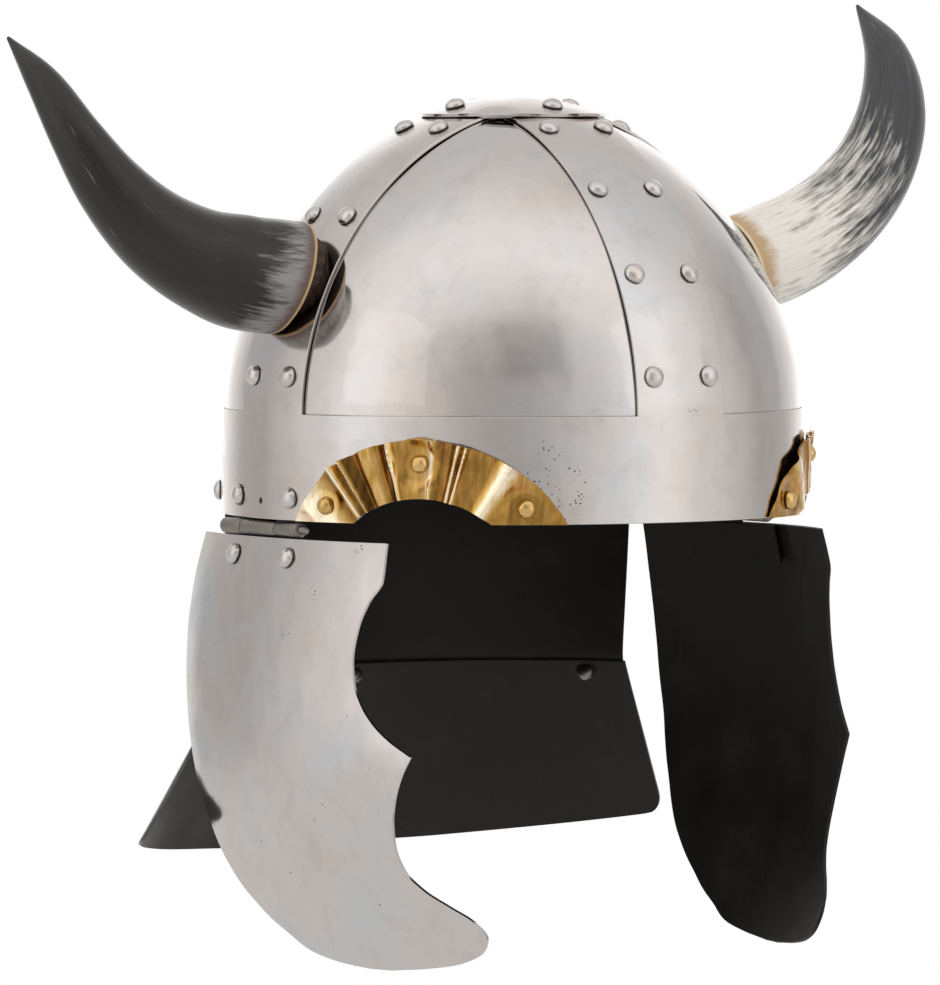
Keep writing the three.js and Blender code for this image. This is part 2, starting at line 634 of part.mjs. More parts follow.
function neckPlate() {
  const heights = [-NECK_FOLD - NECK_FLANGE, -NECK_FOLD, -NECK_FOLD / 2, 0, NECK_INSIDE_BAND];
  return sheet(NECK_COLUMNS, heights.length - 1, (u, v, w) => {
    const height = heights[Math.round(v * (heights.length - 1))];
    const half = THREE.MathUtils.mapLinear(height, 0, -NECK_FOLD, NECK_RIM_ANGLE, NECK_FOLD_ANGLE);
    return neckPoint((u * 2 - 1) * half, height, (1 - w) * NECK_SHEET);
  });
}

// The lame's rows are heights above its lower edge, which dips towards the middle of the back.
function neckLame() {
  const top = -NECK_FOLD - NECK_SHEET * 1.5;
  const cornerRows = [0, 0.08, 0.3, 0.62, 1].map((share) => share * NECK_CORNER);
  const last = cornerRows.length + 1;
  return sheet(NECK_COLUMNS, last, (u, v, w) => {
    const across = u * 2 - 1;
    const bottom = -NECK_BOTTOM - NECK_DIP * (1 - across ** 2);
    const row = Math.round(v * last);
    const middleRise = (top - bottom + NECK_CORNER) / 2;
    const rise = [...cornerRows, middleRise, top - bottom][row];
    const left = Math.max(NECK_CORNER - rise, 0);
    const inset = NECK_CORNER - Math.sqrt(NECK_CORNER ** 2 - left ** 2);
    const widest = THREE.MathUtils.lerp(LAME_BOTTOM_ANGLE, LAME_TOP_ANGLE, rise / (top - bottom));
    const half = widest - inset / (HALF_WIDTH + NECK_FLARE);
    return neckPoint(across * half, bottom + rise, NECK_SHEET + FIT_GAP * 1.5 + (1 - w) * NECK_SHEET);
  });
}

function addNeckGuard() {
  addMesh(helmet, 'neck_plate', neckPlate(), 'blackened');
  const bare = new THREE.Mesh(neckLame(), new THREE.MeshStandardMaterial());
  let lame = toSolid(bare.geometry);
  for (const angle of [-LAME_RIVET_ANGLE, 0, LAME_RIVET_ANGLE]) {
    const outer = neckPoint(angle, -NECK_FOLD - NECK_FLANGE / 2, 0);
    const from = new THREE.Vector3(0, 0, outer.z);
    const direction = new THREE.Vector3(outer.x, outer.y, 0).normalize();
    lame = withRivet(lame, bare, from, direction);
  }
  addMesh(helmet, 'neck_flare', toGeometry(lame), 'blackened');
}

function strapHeight(share) {
  return BAND_HEIGHT + DOME_HEIGHT * share;
}

function buildFrame() {
  let solid = shell(0, -FRAME_SHEET);
  for (const sideX of [RIGHT, LEFT]) {
    solid = solid.subtract(archCutter(sideX));
    for (const sideY of [-1, 1]) {
      solid = solid.subtract(windowBox(sideX, sideY, 0));
    }
  }
  const bare = new THREE.Mesh(toGeometry(solid), new THREE.MeshStandardMaterial());
  const forward = new THREE.Vector3(0, -1, 0);
  for (const share of FRONT_RIVET_ROWS) {
    for (const side of [RIGHT, LEFT]) {
      const from = new THREE.Vector3(side * FRONT_RIVET_SIDE, HALF_LENGTH * 2, strapHeight(share));
      solid = withRivet(solid, bare, from, forward);
    }
  }
  for (const share of NECK_RIVET_SHARES) {
    const from = bandPoint(Math.PI - share * NECK_RIM_ANGLE, BROW_RIVET_HEIGHT, HALF_WIDTH);
    solid = withRivet(solid, bare, from, new THREE.Vector3(-from.x, -from.y, 0).normalize());
  }
  return addMesh(helmet, 'frame', toGeometry(solid), 'steel');
}

function addPanels() {
  const outer = -FRAME_SHEET - FIT_GAP;
  const solid = shell(outer, outer - PANEL_SHEET);
  for (const side of [RIGHT, LEFT]) {
    for (const [ends, sideY] of [['front', -1], ['rear', 1]]) {
      const panel = solid.intersect(windowBox(side, sideY, PANEL_LAP));
      addMesh(helmet, `panel_${ends}_${SIDE_NAMES.get(side)}`, toGeometry(panel), 'steel');
    }
  }
}

// The crown plate's outline: the dome's own curve, lifted a little more towards its edge.
function addCrownPlate() {
  const rows = CROWN_ROWS;
  const outer = [];
  const inner = [];
  for (let row = 0; row <= rows; row += 1) {
    const radius = (CROWN_RADIUS * row) / rows;
    const share = (1 - (radius / HALF_WIDTH) ** DOME_POWER) ** (1 / DOME_POWER);
    const base = BAND_HEIGHT + DOME_HEIGHT * share + FIT_GAP + CROWN_EDGE_LIFT * (row / rows) ** 2;
    inner.push(new THREE.Vector2(radius, base));
    outer.push(new THREE.Vector2(radius, base + CROWN_SHEET));
  }
  const plate = closed(turned([...outer, ...inner.reverse()], DOME_SIDES / 2));
  const mesh = addMesh(helmet, 'crown_plate', plate, 'steel');
  for (let k = 0; k < 4; k += 1) {
    const angle = (k * Math.PI) / 2;
    const from = bandPoint(angle, BAND_HEIGHT + DOME_HEIGHT * 2, CROWN_RIVET_RADIUS - HALF_WIDTH);
    addRivet(helmet, `crown_rivet_${k + 1}`, mesh, from, new THREE.Vector3(0, 0, -1), 'steel');
  }
}

function addStrapRivets(frameMesh) {
  let count = 0;
  for (const share of FRONT_RIVET_ROWS) {
    for (const side of [RIGHT, LEFT]) {
      count += 1;
      const from = new THREE.Vector3(side * FRONT_RIVET_SIDE, -HALF_LENGTH * 2, strapHeight(share));
      addRivet(helmet, `front_rivet_${count}`, frameMesh, from, new THREE.Vector3(0, 1, 0), 'steel');
    }
  }
  for (const side of [RIGHT, LEFT]) {
    let number = 0;
    for (const share of SIDE_RIVET_ROWS) {
      for (const end of [-1, 1]) {
        number += 1;
        const from = new THREE.Vector3(side * HALF_WIDTH * 2, end * SIDE_RIVET_SIDE, strapHeight(share));
        const name = `side_rivet_${SIDE_NAMES.get(side)}_${number}`;
        addRivet(helmet, name, frameMesh, from, new THREE.Vector3(-side, 0, 0), 'steel');
      }
    }
  }
}

const frameMesh = buildFrame();
addPanels();
addCrownPlate();
addStrapRivets(frameMesh);
addNeckGuard();
for (const side of [RIGHT, LEFT]) {
  addHorn(side);
  addBrowArc(side);
  addCheek(side, frameMesh);
}

export default helmet;
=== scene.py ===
"""A riveted steel helmet with two horns, brass brow arcs, hinged cheek guards and a neck guard.

Lengths in the classes are millimetres in the part's own frame: +Z up, the wearer faces -Y, and the
origin is the middle of the rim plane. Meshes are written in metres.
"""

import logging
import math
from dataclasses import dataclass, field
from enum import Enum
from functools import partial
from typing import Callable, Optional, Sequence, Union

import bmesh
import bpy
import numpy as np
from mathutils import Matrix, Vector, noise

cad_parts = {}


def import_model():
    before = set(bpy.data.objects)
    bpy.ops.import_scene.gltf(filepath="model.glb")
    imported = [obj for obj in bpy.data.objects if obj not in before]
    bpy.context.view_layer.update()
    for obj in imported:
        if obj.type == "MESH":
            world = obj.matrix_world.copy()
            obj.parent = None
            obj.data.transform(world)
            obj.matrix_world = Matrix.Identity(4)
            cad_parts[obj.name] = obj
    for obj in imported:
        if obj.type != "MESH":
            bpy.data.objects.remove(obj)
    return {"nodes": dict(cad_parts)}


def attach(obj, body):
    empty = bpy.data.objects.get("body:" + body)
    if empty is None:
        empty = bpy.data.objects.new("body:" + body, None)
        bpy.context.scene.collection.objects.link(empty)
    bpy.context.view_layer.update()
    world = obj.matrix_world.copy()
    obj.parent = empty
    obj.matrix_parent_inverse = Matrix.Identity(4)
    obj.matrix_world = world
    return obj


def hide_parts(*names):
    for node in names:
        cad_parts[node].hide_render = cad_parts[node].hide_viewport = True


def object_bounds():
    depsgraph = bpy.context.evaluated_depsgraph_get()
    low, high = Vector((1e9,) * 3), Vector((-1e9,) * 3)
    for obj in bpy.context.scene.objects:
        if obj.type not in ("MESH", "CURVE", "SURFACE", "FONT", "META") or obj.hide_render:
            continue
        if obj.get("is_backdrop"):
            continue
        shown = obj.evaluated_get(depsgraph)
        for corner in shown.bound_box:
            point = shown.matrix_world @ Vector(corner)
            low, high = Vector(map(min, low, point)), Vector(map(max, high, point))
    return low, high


MM = 0.001
LOG = logging.getLogger("helmet")
WELD = 0.02
Vertex = tuple[float, float, float]


class Side(Enum):
    """The wearer's right and left."""

    RIGHT = -1
    LEFT = 1

    @property
    def label(self) -> str:
        """The side's name in node names."""
        return self.name.lower()


class Layer(Enum):
    """Material slots of a sheet: its outer face, its inner face and its cut edge."""

    OUTSIDE = 0
    INSIDE = 1
    EDGE = 2


def linear(code: str) -> tuple[float, float, float, float]:
    """Turns an sRGB hex colour into linear values.

    Args:
        code: Six hex digits after a hash sign.

    Returns:
        Linear red, green and blue with full alpha.
    """
    parts = [int(code[i:i + 2], 16) / 255 for i in (1, 3, 5)]
    red, green, blue = (p / 12.92 if p <= 0.04045 else ((p + 0.055) / 1.055) ** 2.4 for p in parts)
    return red, green, blue, 1.0


def add_node(tree: bpy.types.NodeTree, kind: str, inputs: Union[dict, Sequence] = (),
             output: Union[int, str] = 0, **settings) -> Optional[bpy.types.NodeSocket]:
    """Adds a shader node with its settings, and links or sets its inputs.

    Args:
        tree: The node tree.
        kind: The node's type name without its first word.
        inputs: A value for each socket, or the socket that feeds it, in order or by name or number.
        output: Name or number of the output that is wanted.
        settings: The node's own properties. The word stops fills a colour ramp with (place, hex) pairs.

    Returns:
        The wanted output of the new node, if it has any.
    """
    node = tree.nodes.new(f"ShaderNode{kind}")
    stops = settings.pop("stops", None)
    for name, value in settings.items():
        setattr(node, name, value)
    if stops:
        ramp = node.color_ramp
        while len(ramp.elements) < len(stops):
            ramp.elements.new(0.5)
        for element, (place, code) in zip(ramp.elements, stops):
            element.position = place
            element.color = linear(code)
    for key, value in inputs.items() if isinstance(inputs, dict) else enumerate(inputs):
        if isinstance(value, bpy.types.NodeSocket):
            tree.links.new(value, node.inputs[key])
        else:
            node.inputs[key].default_value = value
    return node.outputs[output] if node.outputs else None


def scale_of(width: float) -> float:
    """Scale of a pattern in object coordinates, from its real width in millimetres."""
    return 1000 / width


def clean_tree(owner: Union[bpy.types.Material, bpy.types.World]) -> Callable:
    """Empties a node tree.

    Args:
        owner: The material or world.

    Returns:
        The function that adds a node to its tree.
    """
    owner.use_nodes = True
    owner.node_tree.nodes.clear()
    return partial(add_node, owner.node_tree)


def smooth_curve(places: Sequence[float], values: Sequence[float], wanted: np.ndarray) -> np.ndarray:
    """Draws a smooth curve through points without overshoot.

    Args:
        places: Rising positions of the points.
        values: The value at each point.
        wanted: Positions to read.

    Returns:
        The value of the curve at each wanted position.
    """
    x, y = np.asarray(places, float), np.asarray(values, float)
    step, rise = np.diff(x), np.diff(y) / np.diff(x)
    slope = np.zeros_like(y)
    slope[0], slope[-1] = rise[0], rise[-1]
    for i in range(1, len(x) - 1):
        if rise[i - 1] * rise[i] > 0:
            before, after = 2 * step[i] + step[i - 1], step[i] + 2 * step[i - 1]
            slope[i] = (before + after) / (before / rise[i - 1] + after / rise[i])
    k = np.clip(np.searchsorted(x, wanted, side="right") - 1, 0, len(x) - 2)
    t = (wanted - x[k]) / step[k]
    return ((2 * t ** 3 - 3 * t ** 2 + 1) * y[k] + (t ** 3 - 2 * t ** 2 + t) * step[k] * slope[k]
            + (3 * t ** 2 - 2 * t ** 3) * y[k + 1] + (t ** 3 - t ** 2) * step[k] * slope[k + 1])


def smoothstep(value: float, low: float, high: float) -> float:
    """Rises smoothly from 0 at low to 1 at high."""
    t = min(max((value - low) / (high - low), 0.0), 1.0)
    return t * t * (3 - 2 * t)


@dataclass
class SheetMesh:
    """A thin sheet that is drawn by its outer face and thickened inwards, with eased edges.

    Attributes:
        name: The piece's name.
        thickness: Thickness of the sheet.
        ease: Width of the eased edge.
        centre: A point on the inner side, which tells the outer face from the inner one.
        mesh: The faces so far, in millimetres.
    """

    name: str
    thickness: float
    ease: float = 0.28
    centre: Vertex = (0.0, 0.0, 40.0)
    mesh: bmesh.types.BMesh = field(default_factory=bmesh.new)

    def add_grid(self, points: np.ndarray, closed: bool = False, grain: Optional[np.ndarray] = None) -> None:
        """Adds a patch of faces.

        Args:
            points: Rows by columns by three, in millimetres.
            closed: Whether the last column joins the first.
            grain: Three values for each point that the finish reads.
        """
        rows, columns = points.shape[:2]
        layer = self.mesh.verts.layers.float_vector.new("grain") if grain is not None else None
        verts = [[self.mesh.verts.new(points[r, c]) for c in range(columns)] for r in range(rows)]
        if layer:
            for r in range(rows):
                for c in range(columns):
                    verts[r][c][layer] = Vector(grain[r, c])
        faces = []
        for r in range(rows - 1):
            for c in range(columns if closed else columns - 1):
                d = (c + 1) % columns
                faces.append(self.mesh.faces.new((verts[r][c], verts[r][d], verts[r + 1][d], verts[r + 1][c])))
        self.mesh.normal_update()
        middle = Vector(self.centre)
        outward = sum(f.calc_area() * f.normal.dot((f.calc_center_median() - middle).normalized()) for f in faces)
        if outward < 0:
            bmesh.ops.reverse_faces(self.mesh, faces=faces)

    def hammer(self, depth: float, size: float, seed: float) -> None:
        """Makes the sheet slightly uneven, as hand work leaves it.

        Args:
            depth: How far the face moves in or out.
            size: Width of a hollow.
            seed: Moves the pattern.
        """
        self.mesh.normal_update()
        shift = Vector((seed, seed * 2.3, -seed))
        moves = [noise.noise(v.co / size + shift) * v.normal * depth for v in self.mesh.verts]
        for vert, move in zip(self.mesh.verts, moves):
            vert.co += move

    def finish(self, weld: float = WELD) -> bpy.types.Object:
        """Welds the patches and makes the object.

        Args:
            weld: Distance under which corners become one.

        Returns:
            The sheet as a Blender object with its thickness and eased edges.
        """
        bmesh.ops.remove_doubles(self.mesh, verts=self.mesh.verts, dist=weld)
        obj = to_object(self.name, self.mesh)
        solid = obj.modifiers.new("sheet", "SOLIDIFY")
        solid.thickness, solid.offset = self.thickness * MM, -1
        solid.material_offset, solid.material_offset_rim = Layer.INSIDE.value, Layer.EDGE.value
        return ease_edges(obj, self.ease)


def linked(name: str, data: bpy.types.ID) -> bpy.types.Object:
    """Makes an object and links it to the scene.

    Args:
        name: The object's name.
        data: Its mesh, lamp or camera.

    Returns:
        The object.
    """
    obj = bpy.data.objects.new(name, data)
    bpy.context.scene.collection.objects.link(obj)
    return obj


def ease_edges(obj: bpy.types.Object, width: float, angle: float = 50.0, harden: bool = True) -> bpy.types.Object:
    """Eases the sharp edges of a piece.

    Args:
        obj: The piece.
        width: Width of the eased edge in millimetres.
        angle: Smallest bend, in degrees, that counts as an edge.
        harden: Whether the faces beside the edge stay flat in the light.

    Returns:
        The same piece.
    """
    bevel = obj.modifiers.new("edge", "BEVEL")
    bevel.width, bevel.segments, bevel.limit_method = width * MM, 2, "ANGLE"
    bevel.angle_limit, bevel.harden_normals = math.radians(angle), harden
    return obj


def to_object(name: str, mesh: bmesh.types.BMesh) -> bpy.types.Object:
    """Writes a millimetre mesh as a smooth-shaded object in metres and frees it.

    Args:
        name: The piece's name.
        mesh: The mesh in millimetres.

    Returns:
        The object, linked to the scene.
    """
    bmesh.ops.scale(mesh, vec=(MM, MM, MM), verts=mesh.verts)
    for face in mesh.faces:
        face.smooth = True
    data = bpy.data.meshes.new(name)
    mesh.to_mesh(data)
    mesh.free()
    return linked(name, data)


def lathe(profile: Sequence[tuple[float, float]], sides: int, place: Matrix,
          mesh: Optional[bmesh.types.BMesh] = None, uneven: float = 0.0) -> bmesh.types.BMesh:
    """Turns a profile about +Z and puts it in place.

    Args:
        profile: Radius and height pairs from one end to the other, closed on the axis at both.
        sides: Sides round the axis.
        place: Where the axis goes.
        mesh: A mesh to add to.
        uneven: How far the surface wanders, as hammered heads do.

    Returns:
        The mesh with the turned piece.
    """
    mesh = mesh or bmesh.new()
    shift = place.translation / 7
    rings = []
    for radius, height in profile:
        count = sides if radius > 1e-6 else 1
        ring = []
        for k in range(count):
            angle = k / count * math.tau
            point = Vector((radius * math.cos(angle), radius * math.sin(angle), height))
            wander = noise.noise(point / 2.2 + shift) * uneven if height > 0 else 0.0
            ring.append(mesh.verts.new(place @ (point * (1 + wander))))
        rings.append(ring)
    for lower, upper in zip(rings, rings[1:]):
        for k in range(sides):
            j = (k + 1) % sides
            corners = [lower[k % len(lower)], lower[j % len(lower)], upper[j % len(upper)], upper[k % len(upper)]]
            distinct = list(dict.fromkeys(corners))
            if len(distinct) > 2:
                mesh.faces.new(distinct)
    return mesh


class Finish:
    """A finish that makes a material from its own surface."""

    name: str

    def surface(self, add: Callable) -> bpy.types.NodeSocket:
        """Adds the surface's nodes.

        Args:
            add: The function that adds a node to the material.

        Returns:
            The shader of the surface.
        """
        raise NotImplementedError

    def material(self) -> bpy.types.Material:
        """Makes the material.

        Returns:
            The material with its nodes.
        """
        made = bpy.data.materials.new(self.name)
        add = clean_tree(made)
        add("OutputMaterial", {"Surface": self.surface(add)})
        return made


@dataclass(frozen=True)
class BuffedSteel(Finish):
    """Mild steel sheet, hammered over a stake, ground and buffed by hand.

    To the eye it's a soft mirror: light and dark patches of the room, warm and cool stains, hairline
    wiping scratches, and a brown in the corners that is partly grime from the buffing wheel and partly painted
    shade.

    Attributes:
        name: The material's name.
        tints: Cool, plain and warm tone of the bare metal.
        dirt_and_shade: Colour of the dirt in the corners.
        roughness: Lowest and highest roughness.
        patch: Width of a stain.
        scratch: Spacing of the scratches. Real ones are too fine to show, so these are drawn coarser.
        pits: Share of the surface with small rust pits.
        bump: Strength of the dents.
        smudged: Strength of the dull smudges.
        widths: Width of a cloud in the polish, a rust pit, a patch of pits, a smudge and a dent.
        rusty: Place of a group of rust pits and its radius.
        scuff: Place of a dark scuff and its radius.
    """

    name: str = "buffed_steel"
    tints: tuple[str, str, str] = ("#cbcbcc", "#cfcac7", "#cec5bf")
    dirt_and_shade: str = "#382e28"
    roughness: tuple[float, float] = (0.10, 0.19)
    patch: float = 42.0
    scratch: float = 0.35
    pits: float = 0.10
    bump: float = 1.0
    smudged: float = 0.14
    widths: tuple[float, ...] = (17.0, 1.6, 9.0, 13.0, 26.0)
    rusty: tuple[Vertex, float] = ((0.0, 0.0, 0.0), 1.0)
    scuff: tuple[Vertex, float] = ((0.0, 0.0, 0.0), 1.0)

    def surface(self, add: Callable) -> bpy.types.NodeSocket:
        """Adds the surface's nodes.

        Args:
            add: The function that adds a node to the material.

        Returns:
            The shader of the surface.
        """
        cloudy, holes, groups, smudges, dents = map(scale_of, self.widths)
        where = add("TexCoord", output="Object")
        stain = add("TexNoise", {"Vector": where, "Scale": scale_of(self.patch), "Detail": 4.0, "Roughness": 0.55,
            "Distortion": 0.6})
        tone = add("ValToRGB", (stain,), stops=list(zip((0.34, 0.5, 0.66), self.tints)))
        cloud = add("TexNoise", {"Vector": where, "Scale": cloudy, "Detail": 5.0, "Roughness": 0.6})
        worn = None
        for number, turn in enumerate(((0.3, 0.2, 0.5), (1.2, -0.4, 1.9), (-0.7, 0.9, 2.8))):
            turned = add("Mapping", {"Vector": where, "Rotation": turn, "Scale": (scale_of(self.scratch),
                scale_of(self.scratch), 35.0)})
            lines = add("TexNoise", {"Vector": turned, "Scale": 1.0})
            patchy = add("TexNoise", {"Vector": where, "Scale": 40.0 + 9 * number})
            both = add("Math", (patchy, 0.45, lines), operation="MULTIPLY_ADD")
            line = add("MapRange", (both, 1.02, 1.1))
            worn = add("Math", (line, worn), operation="MAXIMUM") if worn else line
        cells = add("TexVoronoi", {"Vector": where, "Scale": holes})
        hole = add("MapRange", (cells, 0.27, 0.14))
        rare = add("TexNoise", {"Vector": where, "Scale": groups, "Detail": 3.0})
        away = []
        for spot, radius in (self.rusty, self.scuff):
            far = add("VectorMath", (where, tuple(x * MM for x in spot)), "Value", operation="DISTANCE")
            away.append(add("MapRange", (far, radius * MM, radius * 0.6 * MM)))
        rare = add("Math", (away[0], 0.24, rare), operation="MULTIPLY_ADD")
        rare = add("MapRange", (rare, 0.72 - self.pits * 0.3, 0.78 - self.pits * 0.3))
        pitted = add("Math", (hole, rare), operation="MULTIPLY")
        pitted = add("Math", (pitted, away[1]), operation="MAXIMUM")
        smudge = add("TexNoise", {"Vector": where, "Scale": smudges, "Detail": 7.0, "Roughness": 0.68,
            "Distortion": 0.5})
        smudge = add("MapRange", (smudge, 0.5, 0.78, 0.0, self.smudged))
        # Ambient occlusion darkens the corners: painted shade, mixed with cloudy grime, rust pits and smudges into
        # one mask.
        shade = add("AmbientOcclusion", {"Distance": 1.1 * MM}, "AO", samples=6)
        corner = add("MapRange", (shade, 0.8, 0.3))
        grime_and_shade = add("Math", (corner, cloud), operation="MULTIPLY")
        grime_and_shade = add("Math", (grime_and_shade, 1.5), operation="MULTIPLY", use_clamp=True)
        grime_and_shade = add("Math", (grime_and_shade, pitted), operation="MAXIMUM")
        grime_and_shade = add("Math", (grime_and_shade, smudge), operation="MAXIMUM")
        light = add("Mix", {0: worn, 6: tone, 7: linear("#d8d6d4")}, 2, data_type="RGBA")
        colour = add("Mix", {0: grime_and_shade, 6: light, 7: linear(self.dirt_and_shade)}, 2, data_type="RGBA")
        gloss = add("MapRange", (cloud, 0.3, 0.7, self.roughness[0], self.roughness[1]))
        gloss = add("Math", (worn, 0.12, gloss), operation="MULTIPLY_ADD")
        gloss = add("Math", (grime_and_shade, 0.5, gloss), operation="MULTIPLY_ADD", use_clamp=True)
        wave = add("TexNoise", {"Vector": where, "Scale": dents, "Detail": 2.0, "Roughness": 0.4})
        dent = add("Bump", {"Height": wave, "Strength": 0.15 * self.bump, "Distance": 3 * MM})
        relief = add("Math", (pitted, -1.0, worn), operation="MULTIPLY_ADD")
        fine = add("Bump", {"Height": relief, "Strength": 0.12 * self.bump, "Distance": 0.1 * MM, "Normal": dent})
        return add("BsdfPrincipled", {"Base Color": colour, "Metallic": 1.0, "Roughness": gloss, "Normal": fine})


@dataclass(frozen=True)
class BlackenedSteel(Finish):
    """Steel blackened in oil and left dull, as on the inside of armour.

    To the eye it's nearly black, with a faint brown bloom, a weak broad shine and pale rub marks.

    Attributes:
        name: The material's name.
        tones: Darkest, middle and bloomed tone.
        rub: Colour of the rub marks.
        roughness: Lowest and highest roughness.
        shine: Strength of the gloss at head-on view.
    """

    name: str = "blackened_steel"
    tones: tuple[str, str, str] = ("#13110f", "#1a1613", "#261f19")
    rub: str = "#2c2926"
    roughness: tuple[float, float] = (0.42, 0.62)
    shine: float = 0.25

    def surface(self, add: Callable) -> bpy.types.NodeSocket:
        """Adds the surface's nodes.

        Args:
            add: The function that adds a node to the material.

        Returns:
            The shader of the surface.
        """
        where = add("TexCoord", output="Object")
        bloom = add("TexNoise", {"Vector": where, "Scale": scale_of(30), "Detail": 6.0, "Roughness": 0.62})
        tone = add("ValToRGB", (bloom,), stops=list(zip((0.35, 0.52, 0.72), self.tones)))
        turned = add("Mapping", {"Vector": where, "Rotation": (0.4, 0.3, 0.8), "Scale": (700.0, 700.0, 30.0)})
        lines = add("TexNoise", {"Vector": turned, "Scale": 1.0, "Detail": 2.0})
        rubbed = add("MapRange", (lines, 0.66, 0.84, 0.0, 0.55))
        colour = add("Mix", {0: rubbed, 6: tone, 7: linear(self.rub)}, 2, data_type="RGBA")
        grit = add("TexNoise", {"Vector": where, "Scale": scale_of(1.6), "Detail": 2.0})
        gloss = add("MapRange", (bloom, 0.3, 0.7, self.roughness[0], self.roughness[1]))
        relief = add("Bump", {"Height": grit, "Strength": 0.25, "Distance": 0.12 * MM})
        return add("BsdfPrincipled", {"Base Color": colour, "Roughness": gloss, "Specular IOR Level": self.shine,
            "Normal": relief})


@dataclass(frozen=True)
class BrassSheet(Finish):
    """Yellow brass sheet, ruffled by hand and wiped, with heat tints left on it.

    To the eye it's golden with orange and brown streaks along the folds and bright creases. The bright
    creases are partly rubbed wear and partly painted highlight, and the brown hollows partly tarnish and
    partly painted reflection of dark surroundings. The mesh's grain attribute holds the place along the
    arc, the distance from its inner edge and how well the wiping has reached the spot, which also paints
    the highlight.

    Attributes:
        name: The material's name.
        tints: Tones from tarnished to rubbed bright.
        orange: Heat tint.
        dirt_and_shade: Colour in the corners.
        roughness: Lowest and highest roughness.
        wiped_and_highlight: Wiping of a piece that has no grain.
    """

    name: str = "brass_sheet"
    tints: tuple[str, ...] = ("#4f3416", "#8a6530", "#b98e48", "#dfbf80", "#fdf0d2")
    orange: str = "#b56a35"
    dirt_and_shade: str = "#2e1f10"
    roughness: tuple[float, float] = (0.12, 0.26)
    wiped_and_highlight: float = 0.0

    def surface(self, add: Callable) -> bpy.types.NodeSocket:
        """Adds the surface's nodes.

        Args:
            add: The function that adds a node to the material.

        Returns:
            The shader of the surface.
        """
        where = add("TexCoord", output="Object")
        grain = add("Attribute", output="Vector", attribute_name="grain")
        # The grain's third value lightens crests and darkens hollows: partly rubbed wear and tarnish, partly
        # painted highlight and painted reflection of dark surroundings.
        rubbed = add("SeparateXYZ", (grain,), "Z")
        along = add("VectorMath", (grain, (0.55, 0.07, 0.0)), operation="MULTIPLY")
        streak = add("TexNoise", {"Vector": along, "Scale": 1.0, "Detail": 3.0})
        stain = add("TexNoise", {"Vector": where, "Scale": scale_of(9), "Detail": 4.0, "Distortion": 0.8})
        level = add("Math", (streak, 0.5, rubbed), operation="MULTIPLY_ADD")
        level = add("Math", (stain, 0.5, level), operation="MULTIPLY_ADD")
        # Shifts the level by the wiping, which on the rivet heads also stands in for their highlight.
        level = add("Math", (level, self.wiped_and_highlight - 0.42), operation="ADD")
        tone = add("ValToRGB", (level,), stops=list(zip((0.0, 0.25, 0.5, 0.75, 0.95), self.tints)))
        heat = add("MapRange", (stain, 0.56, 0.74, 0.0, 0.6))
        tone = add("Mix", {0: heat, 6: tone, 7: linear(self.orange)}, 2, data_type="RGBA")
        # Ambient occlusion darkens the corners with the brown: painted shade, with some grime.
        shade = add("AmbientOcclusion", {"Distance": 1.6 * MM}, "AO", samples=6)
        corner = add("MapRange", (shade, 0.65, 0.2, 0.0, 0.8))
        colour = add("Mix", {0: corner, 6: tone, 7: linear(self.dirt_and_shade)}, 2, data_type="RGBA")
        cloud = add("TexNoise", {"Vector": where, "Scale": scale_of(5), "Detail": 4.0})
        gloss = add("MapRange", (cloud, 0.3, 0.7, self.roughness[0], self.roughness[1]))
        relief = add("Bump", {"Height": cloud, "Strength": 0.22, "Distance": 0.4 * MM})
        return add("BsdfPrincipled", {"Base Color": colour, "Metallic": 1.0, "Roughness": gloss, "Normal": relief})


